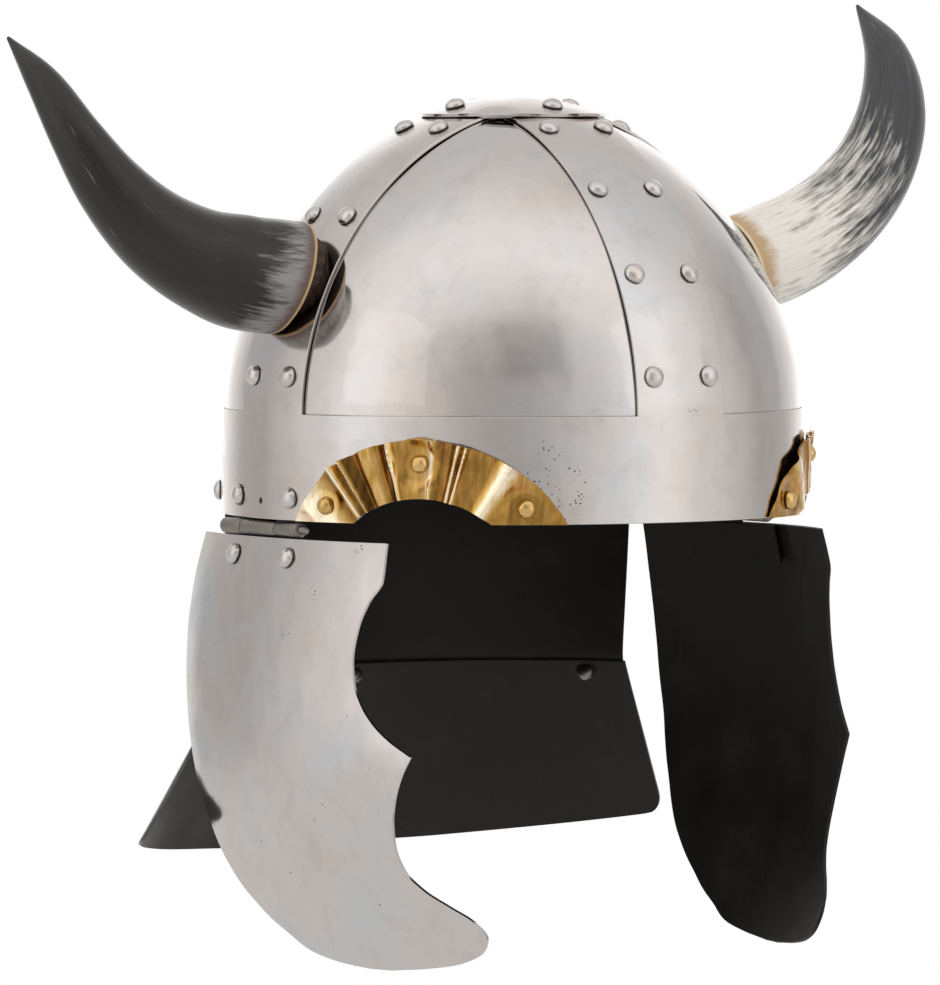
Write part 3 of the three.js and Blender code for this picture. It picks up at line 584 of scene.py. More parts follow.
@dataclass(frozen=True)
class PolishedHorn(Finish):
    """Cattle horn, scraped and polished: keratin with fibres that run along it.

    To the eye it's a waxy gloss over fine streaks. Light horn lets a little light in, and the cut foot
    is tan. The mesh's grain attribute holds the place round the horn and the distance from the cut.

    Attributes:
        name: The material's name.
        dark: Tone of the dark horn.
        pale: Tone of the pale streaks.
        cut: Tone of the cut's thin edge.
        band: Tone of the ragged band beside it.
        pale_until: Distance from the cut at which the pale streaks have thinned out.
        pale_bias: How much of the foot is pale.
        band_width: Width of the ragged band.
        edge_dark: How strongly the outer bend turns dark.
        blend: Softness of the change between dark and pale.
        fibre: Spacing of the fibres.
        face: Tone of the cut's face.
    """

    name: str
    dark: tuple[str, str]
    pale: tuple[str, str]
    cut: str
    band: str
    pale_until: float
    pale_bias: float
    band_width: float
    edge_dark: float
    blend: float = 0.10
    fibre: float = 1.4
    face: str = "#241c17"

    def surface(self, add: Callable) -> bpy.types.NodeSocket:
        """Adds the surface's nodes.

        Args:
            add: The function that adds a node to the material.

        Returns:
            The shader of the surface.
        """
        grain = add("Attribute", output="Vector", attribute_name="grain")
        along = add("SeparateXYZ", (grain,), "Z")
        fine = add("VectorMath", (grain, (1 / self.fibre, 1 / self.fibre, 0.06)), operation="MULTIPLY")
        broad = add("VectorMath", (grain, (0.15, 0.15, 0.045)), operation="MULTIPLY")
        fibres = add("TexNoise", {"Vector": fine, "Scale": 1.0, "Detail": 4.0, "Roughness": 0.6})
        fields = add("TexNoise", {"Vector": broad, "Scale": 1.0, "Detail": 6.0, "Roughness": 0.6,
            "Distortion": 0.4})
        fade = add("MapRange", (along, 0.0, self.pale_until, self.pale_bias, -0.28))
        bend = add("MapRange", (along.node.outputs["X"], -4.0, -19.0, 0.0, -self.edge_dark))
        level = add("Math", (fields, fade), operation="ADD")
        level = add("Math", (fibres, 0.95, level), operation="MULTIPLY_ADD")
        level = add("Math", (level, bend), operation="ADD")
        streak = add("MapRange", (level, 1.06 - self.blend, 1.06 + self.blend))
        deep = add("Mix", {0: fibres, 6: linear(self.dark[0]), 7: linear(self.dark[1])}, 2, data_type="RGBA")
        light = add("Mix", {0: fibres, 6: linear(self.pale[1]), 7: linear(self.pale[0])}, 2, data_type="RGBA")
        horn = add("Mix", {0: streak, 6: deep, 7: light}, 2, data_type="RGBA")
        ragged = add("Math", (fibres, -1.6 * self.band_width, along), operation="MULTIPLY_ADD")
        ragged = add("Math", (fields, -1.2 * self.band_width, ragged), operation="MULTIPLY_ADD")
        strip = add("MapRange", (ragged, self.band_width * -0.05, self.band_width * -0.85, 0.0, 0.85))
        colour = add("Mix", {0: strip, 6: horn, 7: linear(self.band)}, 2, data_type="RGBA")
        for tone, outer, inner in ((self.cut, 1.4, 0.9), (self.face, -0.1, -0.5)):
            edge = add("MapRange", (along, outer, inner))
            colour = add("Mix", {0: edge, 6: colour, 7: linear(tone)}, 2, data_type="RGBA")
        gloss = add("MapRange", (fibres, 0.3, 0.7, 0.2, 0.38))
        gloss = add("Math", (strip, 0.25, gloss), operation="MULTIPLY_ADD")
        relief = add("Bump", {"Height": fibres, "Strength": 0.3, "Distance": 0.25 * MM})
        return add("BsdfPrincipled", {"Base Color": colour, "Roughness": gloss, "IOR": 1.54,
            "Specular IOR Level": 0.38, "Subsurface Weight": 0.08, "Subsurface Radius": (1.0, 0.6, 0.35),
            "Subsurface Scale": 1.5 * MM, "Coat Weight": 0.08, "Coat Roughness": 0.12, "Normal": relief})


@dataclass(frozen=True)
class TurnedWood(Finish):
    """Softwood plug, turned and stained dark: dull, with growth rings 2 mm apart.

    Attributes:
        name: The material's name.
        early: Tone of the wide part of a ring.
        late: Tone of its dark edge.
    """

    name: str = "turned_wood"
    early: str = "#4a3423"
    late: str = "#2c1e14"

    def surface(self, add: Callable) -> bpy.types.NodeSocket:
        """Adds the surface's nodes.

        Args:
            add: The function that adds a node to the material.

        Returns:
            The shader of the surface.
        """
        where = add("TexCoord", output="Object")
        rings = add("TexWave", {"Vector": where, "Scale": scale_of(2) / math.tau, "Distortion": 3.0, "Detail": 2.0},
            "Fac", wave_type="RINGS")
        colour = add("Mix", {0: rings, 6: linear(self.early), 7: linear(self.late)}, 2, data_type="RGBA")
        relief = add("Bump", {"Height": rings, "Strength": 0.3, "Distance": 0.2 * MM})
        return add("BsdfPrincipled", {"Base Color": colour, "Roughness": 0.7, "Normal": relief})


@dataclass(frozen=True)
class PaleFloor(Finish):
    """Studio floor, painted white and lit: matt, faintly cloudy, and clear towards its edge.

    Attributes:
        height: Height of the floor, in metres.
        radius: Radius of the floor, in metres.
        name: The material's name.
        paint: Darker and lighter tone of the paint.
        glow: Strength of its own light.
    """

    height: float
    radius: float
    name: str = "pale_floor"
    paint: tuple[str, str] = ("#9a9998", "#a2a19f")
    glow: float = 0.44

    def surface(self, add: Callable) -> bpy.types.NodeSocket:
        """Adds the surface's nodes.

        Args:
            add: The function that adds a node to the material.

        Returns:
            The shader of the surface.
        """
        where = add("TexCoord", output="Object")
        cloud = add("TexNoise", {"Vector": where, "Scale": 2.0})
        colour = add("Mix", {0: cloud, 6: linear(self.paint[0]), 7: linear(self.paint[1])}, 2, data_type="RGBA")
        away = add("VectorMath", (where, (0, 0, self.height)), "Value", operation="DISTANCE")
        body = add("BsdfPrincipled", {"Base Color": colour, "Roughness": 0.8, "Emission Color": (1, 1, 1, 1),
            "Emission Strength": self.glow})
        melt = add("MapRange", (away, self.radius * 0.6, self.radius))
        return add("MixShader", (melt, body, add("BsdfTransparent")))


@dataclass
class Workshop:
    """The finishes, made once and shared by the pieces.

    Attributes:
        steel: Frame and crown plate.
        panel: Panels.
        cheek: Cheek plates.
        rivet: Steel rivet heads.
        black: Inner faces, and the left cheek plate's cut edge, where it stands for painted shade.
        brass: Brow arcs.
        brass_head: Their rivet heads.
        dark_horn: The wearer's right horn.
        pale_horn: The left one.
        wood: Horn plugs.
    """

    steel: bpy.types.Material
    panel: bpy.types.Material
    cheek: bpy.types.Material
    rivet: bpy.types.Material
    black: bpy.types.Material
    dull: bpy.types.Material
    hinge: bpy.types.Material
    brass: bpy.types.Material
    brass_head: bpy.types.Material
    dark_horn: bpy.types.Material
    pale_horn: bpy.types.Material
    wood: bpy.types.Material

    @classmethod
    def open(cls) -> "Workshop":
        """Makes every finish of the helmet.

        Returns:
            The finishes.
        """
        return cls(
            steel=BuffedSteel(rusty=((-50.0, -94.6, 14.0), 19.0), scuff=((-108.8, 5.2, 6.6), 1.5)).material(),
            panel=BuffedSteel(name="buffed_steel_panel", patch=55.0, pits=0.0, roughness=(0.04, 0.10)).material(),
            rivet=BuffedSteel(name="rivet_steel", patch=5.0, roughness=(0.16, 0.3), pits=0.1).material(),
            black=BlackenedSteel().material(),
            cheek=BuffedSteel(name="buffed_steel_cheek", patch=34.0, pits=0.22, roughness=(0.09, 0.20), bump=1.8,
                              smudged=0.13).material(),
            dull=BlackenedSteel(name="neck_steel", tones=("#3a3835", "#4c4946", "#615d57"), rub="#8a8680",
                                roughness=(0.3, 0.45), shine=0.6).material(),
            hinge=BuffedSteel(name="hinge_steel", tints=("#77746f", "#86827d", "#8f8780"),
                              roughness=(0.3, 0.45)).material(),
            brass=BrassSheet().material(),
            # The brass rivet heads are lightened all over: wiping, and partly a painted highlight.
            brass_head=BrassSheet(name="brass_rivet", wiped_and_highlight=0.60).material(),
            dark_horn=PolishedHorn(name="dark_horn", dark=("#0f0d0c", "#231f1d"), pale=("#a8a6a4", "#5d5a58"),
                                   cut="#c2a376", band="#5c4237", pale_until=27.0, pale_bias=0.38, band_width=4.2,
                                   edge_dark=0.05, blend=0.16).material(),
            pale_horn=PolishedHorn(name="pale_horn", dark=("#1d1e20", "#4b4d50"), pale=("#faf7ef", "#dcd5c8"),
                                   cut="#e3d3b0", band="#bb9460", pale_until=108.0, pale_bias=0.54, band_width=7.0,
                                   edge_dark=0.24, blend=0.19).material(),
            wood=TurnedWood().material(),
        )


def dress(obj: bpy.types.Object, materials: Sequence[bpy.types.Material], body: str, slot: str,
          *nodes: str) -> bpy.types.Object:
    """Gives a new piece its materials and body, and hides the nodes that it stands for.

    Args:
        obj: The piece.
        materials: Its materials in slot order.
        body: The body that it rides on.
        slot: The record's material slot. Not used.
        nodes: The nodes that it replaces.

    Returns:
        The same piece.
    """
    for made in materials:
        obj.data.materials.append(made)
    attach(obj, body)
    if nodes:
        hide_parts(*nodes)
    LOG.info("built %s on %s", obj.name, body)
    return obj


@dataclass
class DomeForm:
    """The form of the band and dome, which every sheet of the bowl follows.

    Attributes:
        half_width: Half the width at the band.
        half_length: Half the length at the band.
        band_height: Height of the band.
        dome_height: Height of the dome above the band.
        power: Fullness of the dome's outline.
        sheet: Thickness of the frame.
        fit_gap: Gap between two sheets.
    """

    half_width: float = 109.0
    half_length: float = 106.5
    band_height: float = 38.6
    dome_height: float = 114.0
    power: float = 1.9
    sheet: float = 1.2
    fit_gap: float = 0.3

    def share(self, height: float) -> float:
        """Share of the plan size that is left at a height."""
        rise = min(max((height - self.band_height) / self.dome_height, 0.0), 1.0)
        return (1 - rise ** self.power) ** (1 / self.power)

    def height(self, x: np.ndarray, y: np.ndarray, offset: float = 0.0) -> np.ndarray:
        """Height of the dome over a plan point, moved outwards by an offset.

        Args:
            x: Distances to the wearer's left.
            y: Distances to the back.
            offset: How far outwards.

        Returns:
            The heights.
        """
        wide = self.half_width + offset
        reach = np.hypot(x / wide, y / (wide * self.half_length / self.half_width))
        left = np.clip(1 - np.clip(reach, 0, 1) ** self.power, 0, 1)
        return self.band_height + (self.dome_height + offset) * left ** (1 / self.power)

    def normal(self, point: Vector) -> Vector:
        """Outward direction of the dome or band at a point on it.

        Args:
            point: A point on the dome or band.

        Returns:
            The direction, one long.
        """
        rise = max(point.z - self.band_height, 0.0) / self.dome_height
        reach = max(math.hypot(point.x / self.half_width, point.y / self.half_length), 1e-6)
        plan = reach ** (self.power - 2)
        up = rise ** (self.power - 1) / self.dome_height
        slope = plan * point.x / self.half_width ** 2, plan * point.y / self.half_length ** 2, up
        return Vector(slope).normalized()

    def band(self, azimuth: float, height: float, offset: float = 0.0) -> Vector:
        """Point of the band at an angle from the front, positive to the wearer's left."""
        return Vector(((self.half_width + offset) * math.sin(azimuth),
                       -(self.half_length + offset) * math.cos(azimuth), height))


def stand_on(point: Vector, normal: Vector) -> Matrix:
    """Where a turned piece or lamp stands: its foot on a point, its axis along a direction."""
    return Matrix.Translation(point) @ normal.to_track_quat("Z", "Y").to_matrix().to_4x4()


@dataclass
class RivetHead:
    """Low domed rivet head, closed with a hammer, so no two are quite alike.

    Attributes:
        radius: Radius of the head.
        height: Height of the head.
        undercut: Gap that shows dark under its edge.
        sides: Sides round the head.
        rows: Rows up the head.
    """

    radius: float = 3.8
    height: float = 2.9
    undercut: float = 0.3
    sides: int = 28
    rows: int = 8

    def profile(self) -> list[tuple[float, float]]:
        """Radius and height pairs from the foot to the top.

        Returns:
            The pairs, closed on the axis at both ends.
        """
        low = [(0.0, -0.4), (self.radius * 0.86, -0.4), (self.radius * 0.86, self.undercut * 0.6),
               (self.radius, self.undercut)]
        steps = [k / self.rows * math.pi / 2 for k in range(1, self.rows + 1)]
        crown = [(self.radius * math.cos(a) ** 0.9 if a < 1.57 else 0.0,
                  self.undercut + (self.height - self.undercut) * math.sin(a)) for a in steps]
        return low + crown

    def add(self, place: Matrix, mesh: Optional[bmesh.types.BMesh] = None) -> bmesh.types.BMesh:
        """Adds a head at a place to a mesh."""
        return lathe(self.profile(), self.sides, place, mesh, uneven=0.07)

    def stand_for(self, node: str, place: Matrix, finish: bpy.types.Material, body: str = "helmet",
                  slot: str = "steel_polished") -> None:
        """Builds one loose rivet head that replaces a node."""
        dress(to_object(f"head_{node}", self.add(place)), [finish], body, slot, node)


@dataclass
class Bowl:
    """The riveted bowl: one-piece frame of band and straps, four panels, crown plate and rivets.

    Attributes:
        form: Form of the dome.
        shop: The finishes.
        front_strap: Half width of the strap from front to back.
        side_strap: Half width of the side straps.
        arch_azimuth: Angle of the eye arches from the front, in degrees.
        arch_radius: Radius of the eye arches.
        arch_centre: Height of the arches' centre.
        lap: How far a panel reaches under the frame.
        panel_sheet: Thickness of a panel.
        crown_radius: Radius of the crown plate.
        crown_rivets: Distance of its rivets from the middle.
        crown_lift: How far its edge stands off the straps.
        crown_sag: How far its edge is beaten down between the straps.
        front_rivet_side: Distance of the front and rear straps' rivets from the strap's middle.
        side_rivet_side: The same on the side straps.
        brow_rivet_height: Height of the band's rivets.
        front_rows: Heights of the rivets on the front and rear strap, as shares of the dome's height.
        side_rows: The same on the side straps.
        neck_rivets: Places of the neck guard's rivets as shares of its half angle.
        neck_half_angle: Half angle of the neck guard from the back, in degrees.
        columns: Columns across a strap.
    """

    form: DomeForm
    shop: Workshop
    front_strap: float = 19.4
    side_strap: float = 19.0
    arch_azimuth: float = 52.5
    arch_radius: float = 41.0
    arch_centre: float = -31.2
    lap: float = 8.0
    panel_sheet: float = 1.0
    crown_radius: float = 34.5
    crown_rivets: float = 26.0
    crown_lift: float = 0.15
    crown_sag: float = 0.8
    front_rivet_side: float = 12.3
    side_rivet_side: float = 11.0
    brow_rivet_height: float = 8.0
    front_rows: tuple[float, ...] = (0.907, 0.714, 0.446, 0.122)
    side_rows: tuple[float, ...] = (0.907, 0.626, 0.118)
    neck_rivets: tuple[float, ...] = (-0.92, -0.46, 0.0, 0.46, 0.92)
    neck_half_angle: float = 59.8
    columns: int = 19

    def arch_bottom(self, azimuth: float) -> float:
        """Height of the band's lower edge at an angle from the front.

        Args:
            azimuth: Angle from the front.

        Returns:
            The height, 0 outside the arches.
        """
        for side in Side:
            turn = side.value * math.radians(self.arch_azimuth)
            away = self.form.band(azimuth, 0) - self.form.band(turn, 0)
            across = away.dot(Vector((math.cos(turn), math.sin(turn), 0)))
            if abs(across) < self.arch_radius and abs(azimuth - turn) < 0.6:
                return max(self.arch_centre + math.sqrt(self.arch_radius ** 2 - across ** 2), 0.0)
        return 0.0

    def band_columns(self) -> list[float]:
        """Angles of the band's columns: they meet the straps' columns and crowd at the arches.

        Returns:
            The angles in order round the band.
        """
        form = self.form
        spread = np.linspace(-self.front_strap, self.front_strap, self.columns)
        front = [math.asin(x / form.half_width) for x in spread]
        spread = np.linspace(-self.side_strap, self.side_strap, self.columns)
        side = [math.acos(-y / form.half_length) for y in spread]
        turns = front + [math.pi - a for a in front] + side + [-a for a in side]
        middle = math.radians(self.arch_azimuth)
        low, high = middle, middle + 0.4
        for _ in range(40):
            half = (low + high) / 2
            low, high = (half, high) if self.arch_bottom(half) > 0 else (low, half)
        reach = low - middle
        arch = [middle + reach * share for share in np.linspace(-1, 1, 33)]
        turns += arch + [-a for a in arch]
        turns = sorted({round(math.remainder(a, math.tau), 7) for a in turns})
        filled = []
        for this, after in zip(turns, turns[1:] + [turns[0] + math.tau]):
            steps = max(1, math.ceil((after - this) / math.radians(2.0)))
            filled += [this + (after - this) * k / steps for k in range(steps)]
        return filled

    def build_frame(self) -> bpy.types.Object:
        """Builds the band and straps in one sheet, with the rivets of the rear strap and neck guard.

        Returns:
            The frame.
        """
        form, sheet = self.form, SheetMesh("bowl_frame", self.form.sheet)
        rows = np.linspace(0, 1, 15)
        band = [[form.band(a, self.arch_bottom(a) * (1 - r) + form.band_height * r) for a in self.band_columns()]
                for r in rows]
        sheet.add_grid(np.array(band), closed=True)
        xs = np.linspace(-self.front_strap, self.front_strap, self.columns)
        turn = np.linspace(0, math.pi, 150)[:, None]
        y = -form.half_length * np.sqrt(1 - (xs / form.half_width) ** 2) * np.cos(turn)
        x = np.broadcast_to(xs, y.shape)
        sheet.add_grid(np.stack([x, y, form.height(x, y)], axis=-1))
        ys = np.linspace(-self.side_strap, self.side_strap, self.columns)
        widest = form.half_width * np.sqrt(1 - (ys / form.half_length) ** 2)
        part = np.linspace(0, 1, 64)[:, None]
        x = widest * np.cos(part * np.arccos(self.front_strap / widest))
        y = np.broadcast_to(ys, x.shape)
        for side in Side:
            sheet.add_grid(np.stack([side.value * x, y, form.height(x, y)], axis=-1))
        bmesh.ops.remove_doubles(sheet.mesh, verts=sheet.mesh.verts, dist=WELD)
        sheet.hammer(0.28, 34.0, 3.0)
        sheet.hammer(0.07, 11.0, 8.0)
        materials = [self.shop.steel, self.shop.black, self.shop.steel]
        return dress(sheet.finish(), materials, "helmet", "steel_polished", "frame")

    def fixed_rivets(self) -> bpy.types.Object:
        """Builds the rivet heads that the frame's solid carries: rear strap and neck guard.

        Returns:
            The heads in one piece.
        """
        form, head, mesh = self.form, RivetHead(), bmesh.new()
        for share in self.front_rows:
            for side in Side:
                head.add(self.strap_place(side.value * self.front_rivet_side, None, share, 1), mesh)
        for share in self.neck_rivets:
            point = form.band(math.pi - share * math.radians(self.neck_half_angle), self.brow_rivet_height)
            head.add(stand_on(point, form.normal(point)), mesh)
        return dress(to_object("rear_rivets", mesh), [self.shop.rivet], "helmet", "steel_polished")

    def strap_place(self, x: Optional[float], y: Optional[float], share: float, end: int) -> Matrix:
        """Place of a strap rivet: x or y is known, and the other one follows from the height.

        Args:
            x: Distance to the wearer's left, or None.
            y: Distance to the back, or None.
            share: Height as a share of the dome's height.
            end: Which end of the strap, -1 or 1.

        Returns:
            Where the rivet stands.
        """
        form = self.form
        height = form.band_height + form.dome_height * share
        left = form.share(height)
        if y is None:
            y = end * form.half_length * math.sqrt(left ** 2 - (x / form.half_width) ** 2)
        else:
            x = end * form.half_width * math.sqrt(left ** 2 - (y / form.half_length) ** 2)
        point = Vector((x, y, height))
        return stand_on(point, form.normal(point))

    def build_panels(self) -> None:
        """Builds the four domed panels, each a fan of columns from its corner under the crown plate."""
        form = self.form
        offset = -form.sheet - form.fit_gap
        wide = form.half_width + offset
        deep = wide * form.half_length / form.half_width
        x0, y0 = self.front_strap - self.lap, self.side_strap - self.lap
        turns = np.linspace(math.asin(x0 / wide), math.acos(y0 / deep), 84)
        rim = np.stack([wide * np.sin(turns), deep * np.cos(turns)], axis=-1)
        corner = np.array([x0, y0])
        reach = 1 - (1 - np.linspace(0.02, 1, 80)[:, None, None]) ** 1.9
        plan = corner + reach * (rim - corner)
        height = form.height(plan[..., 0], plan[..., 1], offset)
        dome = np.concatenate([plan, height[..., None]], axis=-1)
        drops = np.linspace(0, self.lap, 6)[1:]
        wall = np.array([[(px, py, form.band_height - drop) for px, py in rim] for drop in drops])
        quarter = np.concatenate([dome, wall])
        for side in Side:
            for ends, way in (("front", -1), ("rear", 1)):
                node = f"panel_{ends}_{side.label}"
                sheet = SheetMesh(f"bowl_{node}", self.panel_sheet)
                sheet.add_grid(quarter * np.array([side.value, way, 1]))
                sheet.hammer(0.5, 42.0, 5.0 + side.value + 3 * way)
                sheet.hammer(0.10, 15.0, 2.0 + side.value - way)
                dress(sheet.finish(), [self.shop.panel, self.shop.black, self.shop.panel], "helmet",
                      "steel_polished", node)

    def crown_point(self, radius: float, angle: float) -> Vector:
        """Point of the crown plate's upper face.

        Args:
            radius: Distance from the middle.
            angle: Angle from the wearer's left.

        Returns:
            The point in millimetres.
        """
        form = self.form
        left = (1 - (radius / form.half_width) ** form.power) ** (1 / form.power)
        lift = form.fit_gap + self.crown_lift * (radius / self.crown_radius) ** 2 + form.sheet
        between_straps = smoothstep(abs(math.sin(2 * angle)), 0.92, 0.97)
        lift -= self.crown_sag * between_straps * smoothstep(radius, 27.5, self.crown_radius)
        y = radius * math.sin(angle) * form.half_length / form.half_width
        return Vector((radius * math.cos(angle), y, form.band_height + form.dome_height * left + lift))

    def build_crown(self) -> None:
        """Builds the crown plate and its four rivets."""
        radii = self.crown_radius * np.linspace(0.002, 1, 18)
        angles = np.linspace(0, math.tau, 145)[:-1]
        sheet = SheetMesh("bowl_crown_plate", self.form.sheet)
        sheet.add_grid(np.array([[self.crown_point(r, a) for a in angles] for r in radii]), closed=True)
        sheet.hammer(0.5, 22.0, 9.0)
        dress(sheet.finish(0.1), [self.shop.steel] * 3, "helmet", "steel_polished", "crown_plate")
        for k in range(4):
            angle = k * math.pi / 2 - math.pi / 2
            point = self.crown_point(self.crown_rivets, angle)
            RivetHead().stand_for(f"crown_rivet_{k + 1}", stand_on(point, self.form.normal(point)), self.shop.rivet)

    def build_rivets(self) -> None:
        """Builds the rivets of the front and side straps."""
        count = 0
        for share in self.front_rows:
            for side in Side:
                count += 1
                place = self.strap_place(side.value * self.front_rivet_side, None, share, -1)
                RivetHead().stand_for(f"front_rivet_{count}", place, self.shop.rivet)
        for side in Side:
            count = 0
            for share in self.side_rows:
                for end in (-1, 1):
                    count += 1
                    place = self.strap_place(None, end * self.side_rivet_side, share, side.value)
                    RivetHead().stand_for(f"side_rivet_{side.label}_{count}", place, self.shop.rivet)

    def build(self) -> None:
        """Builds every piece of the bowl."""
        self.build_frame()
        self.fixed_rivets()
        self.build_panels()
        self.build_crown()
        self.build_rivets()


@dataclass
class BrowArc:
    """A ruffled brass sheet round an eye arch, held by three rivets.

    Attributes:
        form: Form of the band.
        shop: The finishes.
        side: The wearer's side.
        azimuth: Angle of the arc's middle from the front, in degrees.
        outer: Radius of the outer edge.
        inner: Radius of the inner edge.
        centre: Height of the common centre.
        sheet: Thickness of the brass.
        seat: Gap of the pressed parts to the band.
        lift: Height of a ridge over the seat.
        soften: Roundness of the creases, as a share of the half angle.
        pressed: Distance from a rivet within which the sheet lies flat.
        folds: Creases: share of the half angle, height as a share of the lift, and how bright it's rubbed, which is
            partly a painted highlight.
        rivets: Distance of each rivet from the arc's middle, and its height.
    """

    form: DomeForm
    shop: Workshop
    side: Side
    azimuth: float = 52.5
    outer: float = 61.5
    inner: float = 40.4
    centre: float = -31.2
    sheet: float = 0.8
    seat: float = 0.5
    lift: float = 6.0
    soften: float = 0.009
    pressed: float = 5.2
    # The third column paints highlight on the crests and dark reflection in the hollows, besides the rubbed wear.
    folds: tuple[tuple[float, float, float], ...] = (
        (-1.0, 0.15, 0.95), (-0.80, 0.15, 0.90), (-0.70, 0.20, 0.60), (-0.61, 0.50, 0.20), (-0.565, 0.95, 1.00),
        (-0.545, 0.60, 0.15), (-0.515, 0.30, 0.20), (-0.495, 1.00, 1.00), (-0.475, 0.60, 0.10),
        (-0.41, 0.10, 0.05), (-0.37, 0.45, 0.50), (-0.30, 0.60, 0.50), (-0.25, 0.45, 0.40), (-0.225, 0.05, 0.00),
        (-0.205, 0.20, 0.05), (-0.18, 0.95, 0.95), (-0.155, 0.45, 0.35), (-0.08, 0.45, 0.40), (0.0, 0.60, 0.45),
        (0.055, 0.30, 0.60), (0.075, 0.75, 0.95), (0.10, 0.40, 0.30), (0.15, 0.10, 0.10), (0.20, 0.30, 0.15),
        (0.235, 0.90, 0.95), (0.255, 0.35, 0.10), (0.275, 1.00, 1.00), (0.30, 0.45, 0.25), (0.38, 0.20, 0.35),
        (0.46, 0.30, 0.30), (0.52, 0.75, 0.95), (0.56, 0.90, 0.90), (0.62, 0.45, 0.45), (0.74, 0.25, 0.35),
        (1.0, 0.15, 0.45))
    rivets: tuple[tuple[float, float], ...] = ((-38.0, 6.0), (0.0, 21.7), (38.0, 6.0))

    def point(self, across: float, outward: float) -> Vector:
        """Outer face of the sheet.

        Args:
            across: From -1 at the end nearest the wearer's right to 1.
            outward: From 0 at the inner edge to 1 at the outer edge.

        Returns:
            The point in millimetres.
        """
        radius = self.inner + (self.outer - self.inner) * outward
        angle = across * math.acos(-self.centre / radius)
        along, height = radius * math.sin(angle), self.centre + radius * math.cos(angle)
        widest = math.acos(-self.centre / self.outer)
        places, heights, _ = zip(*self.folds)
        nearby = angle / widest * -self.side.value + self.soften * np.linspace(-1, 1, 5)
        fold = float(np.interp(nearby, places, heights).mean())
        near = min(math.hypot(along - x, height - z) for x, z in self.rivets)
        free = smoothstep(near, self.pressed, self.pressed * 1.9)
        ends = smoothstep(1 - abs(across), 0.0, 0.12)
        proud = self.seat + free * self.lift * fold * (0.45 + 0.55 * outward) * (0.25 + 0.75 * ends)
        return self.over_band(along, height, proud + self.sheet)

    def over_band(self, along: float, height: float, offset: float) -> Vector:
        """Point over the band at a length along it from the arc's middle.

        Args:
            along: Length from the arc's middle.
            height: Height over the rim.
            offset: Distance from the band.

        Returns:
            The point in millimetres.
        """
        turn = self.side.value * math.radians(self.azimuth)
        turn += 2 * along / (self.form.half_width + self.form.half_length)
        return self.form.band(turn, height, offset)

    def grain(self, across: float, outward: float) -> Vertex:
        """Place along the arc, distance from the inner edge and brightness of the rubbing, partly a painted
        highlight.

        Args:
            across: From -1 to 1, as for a point.
            outward: From 0 to 1, as for a point.

        Returns:
            The three values.
        """
        radius = self.inner + (self.outer - self.inner) * outward
        angle = across * math.acos(-self.centre / radius)
        places, _, rubs_and_highlights = zip(*self.folds)
        # The rub value carries painted highlight as well as rubbed wear.
        rub = float(np.interp(angle / math.acos(-self.centre / self.outer) * -self.side.value, places, rubs_and_highlights))
        return angle * radius, radius - self.inner, rub

    def build(self) -> None:
        """Builds the sheet and its rivets."""
        node = f"brow_arc_{self.side.label}"
        sheet = SheetMesh(f"ruffled_{node}", self.sheet, ease=0.2, centre=(0.0, 0.0, 10.0))
        acrosses, outwards = np.linspace(-1, 1, 321), np.linspace(0, 1, 36)
        sheet.add_grid(np.array([[self.point(a, o) for a in acrosses] for o in outwards]),
                       grain=np.array([[self.grain(a, o) for a in acrosses] for o in outwards]))
        sheet.hammer(0.45, 9.0, 4.0 * self.side.value)
        dress(sheet.finish(), [self.shop.brass] * 3, "helmet", "brass", node)
        for number, (along, height) in enumerate(self.rivets, start=1):
            point = self.over_band(along, height, self.seat + self.sheet)
            RivetHead(radius=3.4, height=3.1).stand_for(
                f"brow_arc_rivet_{self.side.label}_{number}", stand_on(point, self.form.normal(point)),
                self.shop.brass_head, slot="brass")


